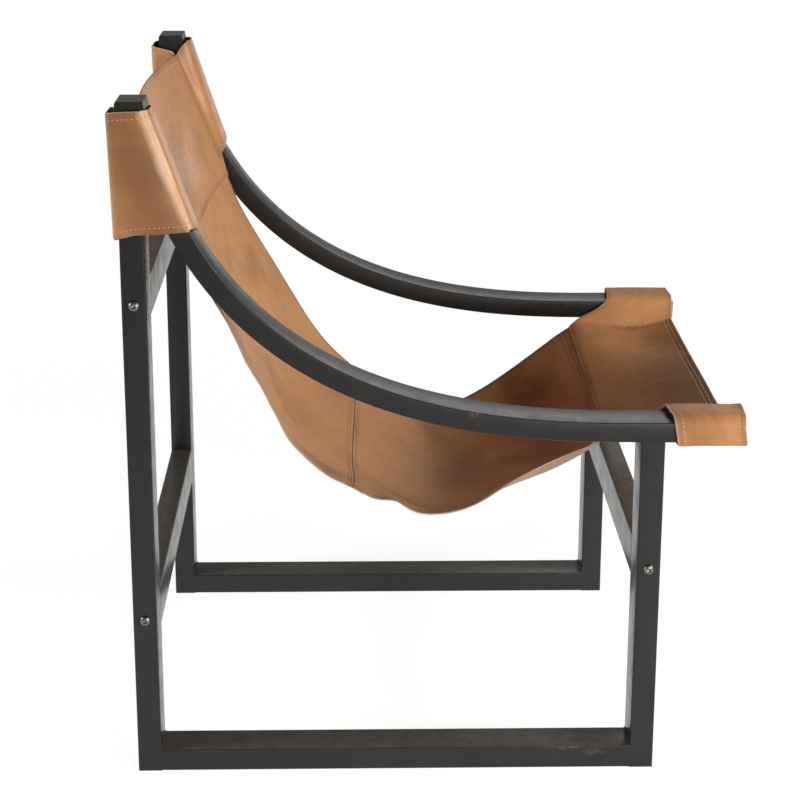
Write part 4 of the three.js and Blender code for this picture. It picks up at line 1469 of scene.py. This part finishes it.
def wrapped(rings, panel, bulge):
    """A hide from one sleeve's lip across the panel to the other's, and the columns sewn at each side.

    The two sewn lines are relaxed, and the whole hide bulges in slow waves along its normals.
    """
    grid = np.concatenate([rings["right"][:, :-1], panel, rings["left"][:, -2::-1]], axis=1)
    right_sewn = rings["right"].shape[1] - 1
    left_sewn = right_sewn + panel.shape[1] - 1
    grid = relaxed(grid, [right_sewn, left_sewn], relaxed_columns, relaxing_passes)
    return grid + normals_of(grid) * soft_bulge(grid, bulge)[..., None], right_sewn, left_sewn


rear_join_reach = 0.022
rear_bulge = 0.0004
back_panel = seamed_surface(back_lengths, lap_lift(back_lengths, back_seam, -1, True), [hem_inset])
rear_rings = {}
for prefix, side in sides:
    ring, ring_heights = sleeve_ring(prefix)
    made = with_side(side, ring[..., 1], ring[..., 0], ring_heights)
    edge, inner = (back_panel[:, [0, 1]] if side < 0 else back_panel[:, [-1, -2]]).swapaxes(0, 1)
    made = joined(made, edge, rear_join_reach)
    beyond = edge[:, None] + (edge - inner)[:, None] * np.arange(ring_columns)[::-1, None]
    is_below = np.arange(len(made)) > last_sleeve_row
    rear_rings[prefix] = np.where(is_below[:, None, None], beyond, made)
back_middle, right_sewn, left_sewn = wrapped(rear_rings, back_panel, rear_bulge)
row, column = np.indices((len(back_lengths) - 1, back_middle.shape[1] - 1))
back_kept = (row < last_sleeve_row) | ((column >= right_sewn) & (column < left_sewn))
back_thickness = leather * pared_at(back_lengths, back_seam, -1)[:, None] * np.ones(back_middle.shape[1])
free_share = easing(back_lengths - sleeve_end, edge_pared_reach)[:, None]
back_thickness[:, right_sewn:left_sewn + 1] *= 1 - (1 - pared_edges) * free_share
back_top, back_normal = hide_piece(
    "sling_back_leather", back_middle, ["sling_back_panel", "right_rear_sleeve", "left_rear_sleeve"],
    sleeve_hide, back_kept, [len(back_lengths) - 1], thickness=back_thickness)

# %% [markdown]
# ## The front panel and its sleeves
#
# At the front the hide comes up inside each arm, over it, down the outside and back under, and two
# rows of stitches join it to itself below the arm. Its rear edge is cut away in a curve, so the
# sleeve is shorter on the outside than on the inside.

# %% The front
front_slack_out = 0.0020
front_slack_up = 0.0055
front_lip_drop = 0.0058
front_corner_drop = 0.0042
front_corner_inset = 0.001
front_straights = [4, 16, 8, 16, 10]
front_arcs = 7
front_radii = [0.002, 0.0045, 0.0135, 0.0140]


def front_corners(seam_height):
    """Corners of a front sleeve's section, square to the arm, as [depth from the outer face, height]."""
    level = 0 * seam_height
    outside = level - hide_offset - front_slack_out
    over_arm = arm_height + hide_offset + front_slack_up + level
    corners = [
        (sewn_depth + lip_length + level, seam_height - front_lip_drop),
        (sewn_depth + front_corner_inset + level, seam_height - front_corner_drop),
        (outside, arm_bottom - hide_offset + level),
        (outside, over_arm),
        (tube_width + hide_offset + level, over_arm),
        (half_width - sling_half + level, seam_height),
    ]
    return np.stack([np.stack(corner, axis=-1) for corner in corners], axis=-2)


# How far forward each front sleeve begins and ends, at distances along the hide from its sewn line.
sleeve_distances = [0, 0.012, 0.016, 0.025, 0.035, 0.042, 0.075, 0.104, 0.122, 0.139, 0.209]
sleeve_begins = {
    "right": [0.606, 0.618, 0.626, 0.646, 0.660, 0.6655, 0.668, 0.671, 0.674, 0.6765, 0.676],
    "left": [0.606, 0.617, 0.623, 0.641, 0.653, 0.656, 0.658, 0.660, 0.662, 0.664, 0.664],
}
sleeve_stops = {
    "right": [0.752, 0.7535, 0.754, 0.756, 0.758, 0.7595, 0.758, 0.7565, 0.759, 0.761, 0.757],
    "left": [0.752, 0.752, 0.752, 0.7515, 0.7515, 0.7515, 0.750, 0.749, 0.7495, 0.750, 0.751],
}

front_hem_insets = (0.0065, 0.0120)
front_join_reach = 0.028
front_bulge = 0.0005
lowest_sewn = 0.431
front_stitches = sling_length - np.array(front_hem_insets)
front_lengths = lengths_with(front_seam, sling_length, wrap_pitch, front_stitches)
front_length = float(front_lengths[-1] - front_lengths[0])
front_down = (front_lengths - front_lengths[0]) / front_length
front_panel = seamed_surface(front_lengths, lap_lift(front_lengths, front_seam, 1, True), front_stitches)
front_rings = {}
for prefix, side in sides:
    edge = front_panel[:, 0 if side < 0 else -1]
    corners = front_corners(np.maximum(edge[:, 2], lowest_sewn))
    section = rounded_path(corners, front_radii, front_straights, front_arcs)
    from_seam = from_end(section)
    begin = np.interp(from_seam, sleeve_distances, sleeve_begins[prefix])
    stop = np.interp(from_seam, sleeve_distances, sleeve_stops[prefix])
    forward = begin + (stop - begin) * front_down[:, None]
    made = with_side(side, section[..., 0], forward, section[..., 1])
    front_rings[prefix] = joined(made, edge, front_join_reach)
front_middle, front_sewn, left_front_sewn = wrapped(front_rings, front_panel, front_bulge)
front_top, front_normal = hide_piece(
    "sling_front_leather", front_middle, ["sling_front_panel", "right_front_sleeve", "left_front_sleeve"],
    panel_hides["front"], pale_rows=[0])

# %% [markdown]
# ## Stitches on the sleeves
#
# Rows of pale thread run just inside the upper and lower edges of the rear sleeves, inside the
# front ends of both front sleeves and the rear end of the near one, which is the sitter's right,
# along the top edge and the hem, and twice along each front seam.


# %% Rows on the sleeves
def row_inside(surface, normal, distance, from_last, columns):
    """A path that keeps one distance from the first or last row, for a range of columns."""
    down = lengths_along(surface, 0)
    if from_last:
        down = down[-1:] - down
    order = slice(None, None, -1) if from_last else slice(None)
    return tuple(
        np.stack([read_at(distance, down[order, column], grid[order, column]) for column in range(*columns)])
        for grid in (surface, normal)
    )


def row_beside(surface, normal, column, distance, rows):
    """A path down a range of rows that keeps one distance across from a column."""
    across = lengths_along(surface, 1)
    across = across - across[:, [column]]
    return tuple(
        np.stack([read_at(distance, across[row], grid[row]) for row in range(*rows)])
        for grid in (surface, normal)
    )


sleeve_inset = 0.0080
back_columns = back_middle.shape[1]
post_columns = [(14, ring_columns - 3), (back_columns - ring_columns + 3, back_columns - 14)]
beside_posts = (back_top[:last_sleeve_row + 1], back_normal[:last_sleeve_row + 1])
top_columns = [*post_columns, (right_sewn + 2, left_sewn - 2)]
upper_rows = [row_inside(back_top, back_normal, sleeve_inset, False, columns) for columns in top_columns]
lower_rows = [row_inside(*beside_posts, sleeve_inset, True, columns) for columns in post_columns]
stitch_piece("back_stitches", [*upper_rows, *lower_rows], tan_thread)

near_inset = 0.0085  # for the row inside the near front sleeve's rear end
front_columns = front_middle.shape[1]
arm_columns = [(6, front_sewn - 2), (front_columns - front_sewn + 2, front_columns - 6)]
hem_columns = (front_sewn + 1, left_front_sewn - 1)
front_rows = [row_inside(front_top, front_normal, near_inset, False, arm_columns[0])]
for columns in arm_columns:
    front_rows.append(row_inside(front_top, front_normal, sleeve_inset, True, columns))
for inset in front_hem_insets:
    front_rows.append(row_inside(front_top, front_normal, inset, True, hem_columns))
stitch_piece("front_stitches", front_rows, tan_thread)

beside_seam = 0.0039
seam_begins = 0.671  # how far forward the rows beside the front seams begin
from_begin = np.abs(front_middle[:, front_sewn, 1] - (post_back - seam_begins))
seam_range = (int(from_begin.argmin()), len(front_lengths) - 2)
seam_rows = []
for distance in (-beside_seam, beside_seam):
    for column in (front_sewn, left_front_sewn):
        seam_rows.append(row_beside(front_top, front_normal, column, distance, seam_range))
stitch_piece("front_seam_stitches", seam_rows, light_thread, thick_stitch_width)

# %% [markdown]
# ## Finishes for the CAD pieces that stay
#
# The plugs in the posts' feet and the threaded plates inside the stretchers keep their CAD shape,
# and only take a finish. Blender shows a node's finish through its material slots.

# %% Finish the remaining nodes
kept_finishes = {"plug": cap_black, "plate": powder_black}
for node_name, node_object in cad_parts.items():
    for ending, finish in kept_finishes.items():
        if node_name.endswith(ending):
            for material_slot in node_object.material_slots:
                material_slot.material = finish
print("finished by the ends of their names:", *kept_finishes)

# %% [markdown]
# ## Floor, light and camera
#
# The photograph was taken on white. A broad lamp stands in front of the chair and a lower one near
# the camera, which leaves the rising front of the seat in shade, as it is in the photograph. A small
# lamp low at the front lights the folds of the near sleeves, a weak one at the far side keeps the
# shaded sides from going black, and one behind lights the back. A white floor that is partly lit
# and partly plain white to the camera keeps a faint shadow. The camera's place and lens were solved
# from the corners of the frame.

# %% Floor and world
lit_reach = (0.6, 2.4)  # distances between which the lamps' light on the floor gives way to white
floor_reach = 30.0


def partly_white(name, share, near_strength, colour):
    """A floor finish: a share of plain white to the camera and to reflections, the rest lit paint.

    Far from the chair no lamp reaches the floor, so the share of plain white grows to all of it.
    """
    material, tree, paint = new_material(name)
    filled(paint, Base_Color=(*colour, 1), Roughness=0.9, Specular_IOR_Level=0.1)
    where = node(tree, "ShaderNodeTexCoord").outputs["Object"]
    distance = node(tree, "ShaderNodeVectorMath", [(0, where)], operation="LENGTH").outputs["Value"]
    path = node(tree, "ShaderNodeLightPath")
    seen = computed(tree, "MAXIMUM", path.outputs["Is Camera Ray"], path.outputs["Is Glossy Ray"])
    seen = computed(tree, "MAXIMUM", seen, path.outputs["Is Transmission Ray"])
    strength = ranged(tree, distance, *lit_reach, near_strength, 1)
    glow = node(tree, "ShaderNodeEmission", [("Strength", strength)], Color=(1, 1, 1, 1))
    amount = computed(tree, "MULTIPLY", seen, ranged(tree, distance, *lit_reach, share, 1))
    blend = node(tree, "ShaderNodeMixShader", [(0, amount), (1, paint.outputs["BSDF"]),
                                               (2, glow.outputs["Emission"])])
    tree.links.new(blend.outputs["Shader"], tree.nodes["Material Output"].inputs["Surface"])
    return material


floor_points = np.array([[-1, -1, 0], [1, -1, 0], [1, 1, 0], [-1, 1, 0]]) * floor_reach
floor_mesh = bpy.data.meshes.new("floor")
floor_mesh.from_pydata(floor_points.tolist(), [], [[0, 1, 2, 3]])
floor_mesh.materials.append(partly_white("floor_white", 0.72, 1.2, (0.9, 0.9, 0.9)))
floor = bpy.data.objects.new("floor", floor_mesh)
bpy.context.scene.collection.objects.link(floor)
print("floor reaches", floor_reach, "m each way")

world = bpy.data.worlds.new("studio")
world.use_nodes = True
bpy.context.scene.world = world
world_tree = world.node_tree
sky = filled(world_tree.nodes["Background"], Color=(1.0, 0.99, 0.975, 1))
rays = node(world_tree, "ShaderNodeLightPath")
mirrored_sky = computed(world_tree, "MULTIPLY", rays.outputs["Is Glossy Ray"], 0.15)
seen_sky = computed(world_tree, "MAXIMUM", rays.outputs["Is Camera Ray"], mirrored_sky)
world_tree.links.new(ranged(world_tree, seen_sky, 0, 1, 0.03, 1), sky.inputs["Strength"])

# %% Lamps
lamps = {  # where each lamp stands, the place it faces, its side and its watts
    "front_light": ((-0.40, -2.24, 1.51), (0, 0, 0.45), 1.2, 40),
    "fold_light": ((-1.55, -1.85, 0.70), (0, 0, 0.60), 0.45, 9),
    "low_light": ((-2.30, -0.95, 0.78), (0, 0, 0.45), 1.0, 27),
    "far_light": ((2.05, -0.75, 1.60), (0, 0, 0.45), 1.0, 4),
    "back_light": ((-0.45, 2.20, 1.20), (0, 0, 0.60), 0.6, 32),
}


def soft_lamp(name, centre, target, size, power):
    """A square area lamp at a place, turned to face a target."""
    lamp = bpy.data.lights.new(name, "AREA")
    lamp.shape = "SQUARE"
    lamp.size = size
    lamp.energy = power
    lamp.color = (1.0, 0.985, 0.96)
    holder = bpy.data.objects.new(name, lamp)
    toward = unit(np.asarray(target) - np.asarray(centre))
    beside = unit(np.cross(toward, up_axis))
    turned = np.stack([beside, np.cross(beside, toward), -toward], axis=1)
    holder.matrix_world = Matrix.Translation(centre) @ Matrix(turned.tolist()).to_4x4()
    bpy.context.scene.collection.objects.link(holder)


for lamp_name, lamp_settings in lamps.items():
    soft_lamp(lamp_name, *lamp_settings)
print("lamps placed:", len(lamps))

# %% Camera
camera_forward = 0.278443
camera_depth = -2.439653
camera_height = 1.250458
camera_lens = 94.5325
camera_yaw = np.radians(1.29834)
camera_pitch = np.radians(17.17724)
camera_roll = np.radians(0.1386)

looking = np.array([
    np.cos(camera_yaw) * np.cos(camera_pitch),
    -np.sin(camera_yaw) * np.cos(camera_pitch),
    -np.sin(camera_pitch),
])
level_right = np.array([-np.sin(camera_yaw), -np.cos(camera_yaw), 0.0])
level_up = np.cross(level_right, looking)
right_way = np.cos(camera_roll) * level_right + np.sin(camera_roll) * level_up
up_way = -np.sin(camera_roll) * level_right + np.cos(camera_roll) * level_up
camera_data = bpy.data.cameras.new("camera")
camera_data.lens = camera_lens
camera_data.sensor_width = 36
camera = bpy.data.objects.new("camera", camera_data)
camera_place = placed(camera_depth - half_width, camera_forward, camera_height)
turned = np.stack([right_way, up_way, -looking], axis=1)
camera.matrix_world = Matrix.Translation(camera_place.tolist()) @ Matrix(turned.tolist()).to_4x4()
bpy.context.scene.collection.objects.link(camera)
bpy.context.scene.camera = camera
bpy.context.scene.view_settings.view_transform = "Standard"
print("camera at", camera_place.round(3))
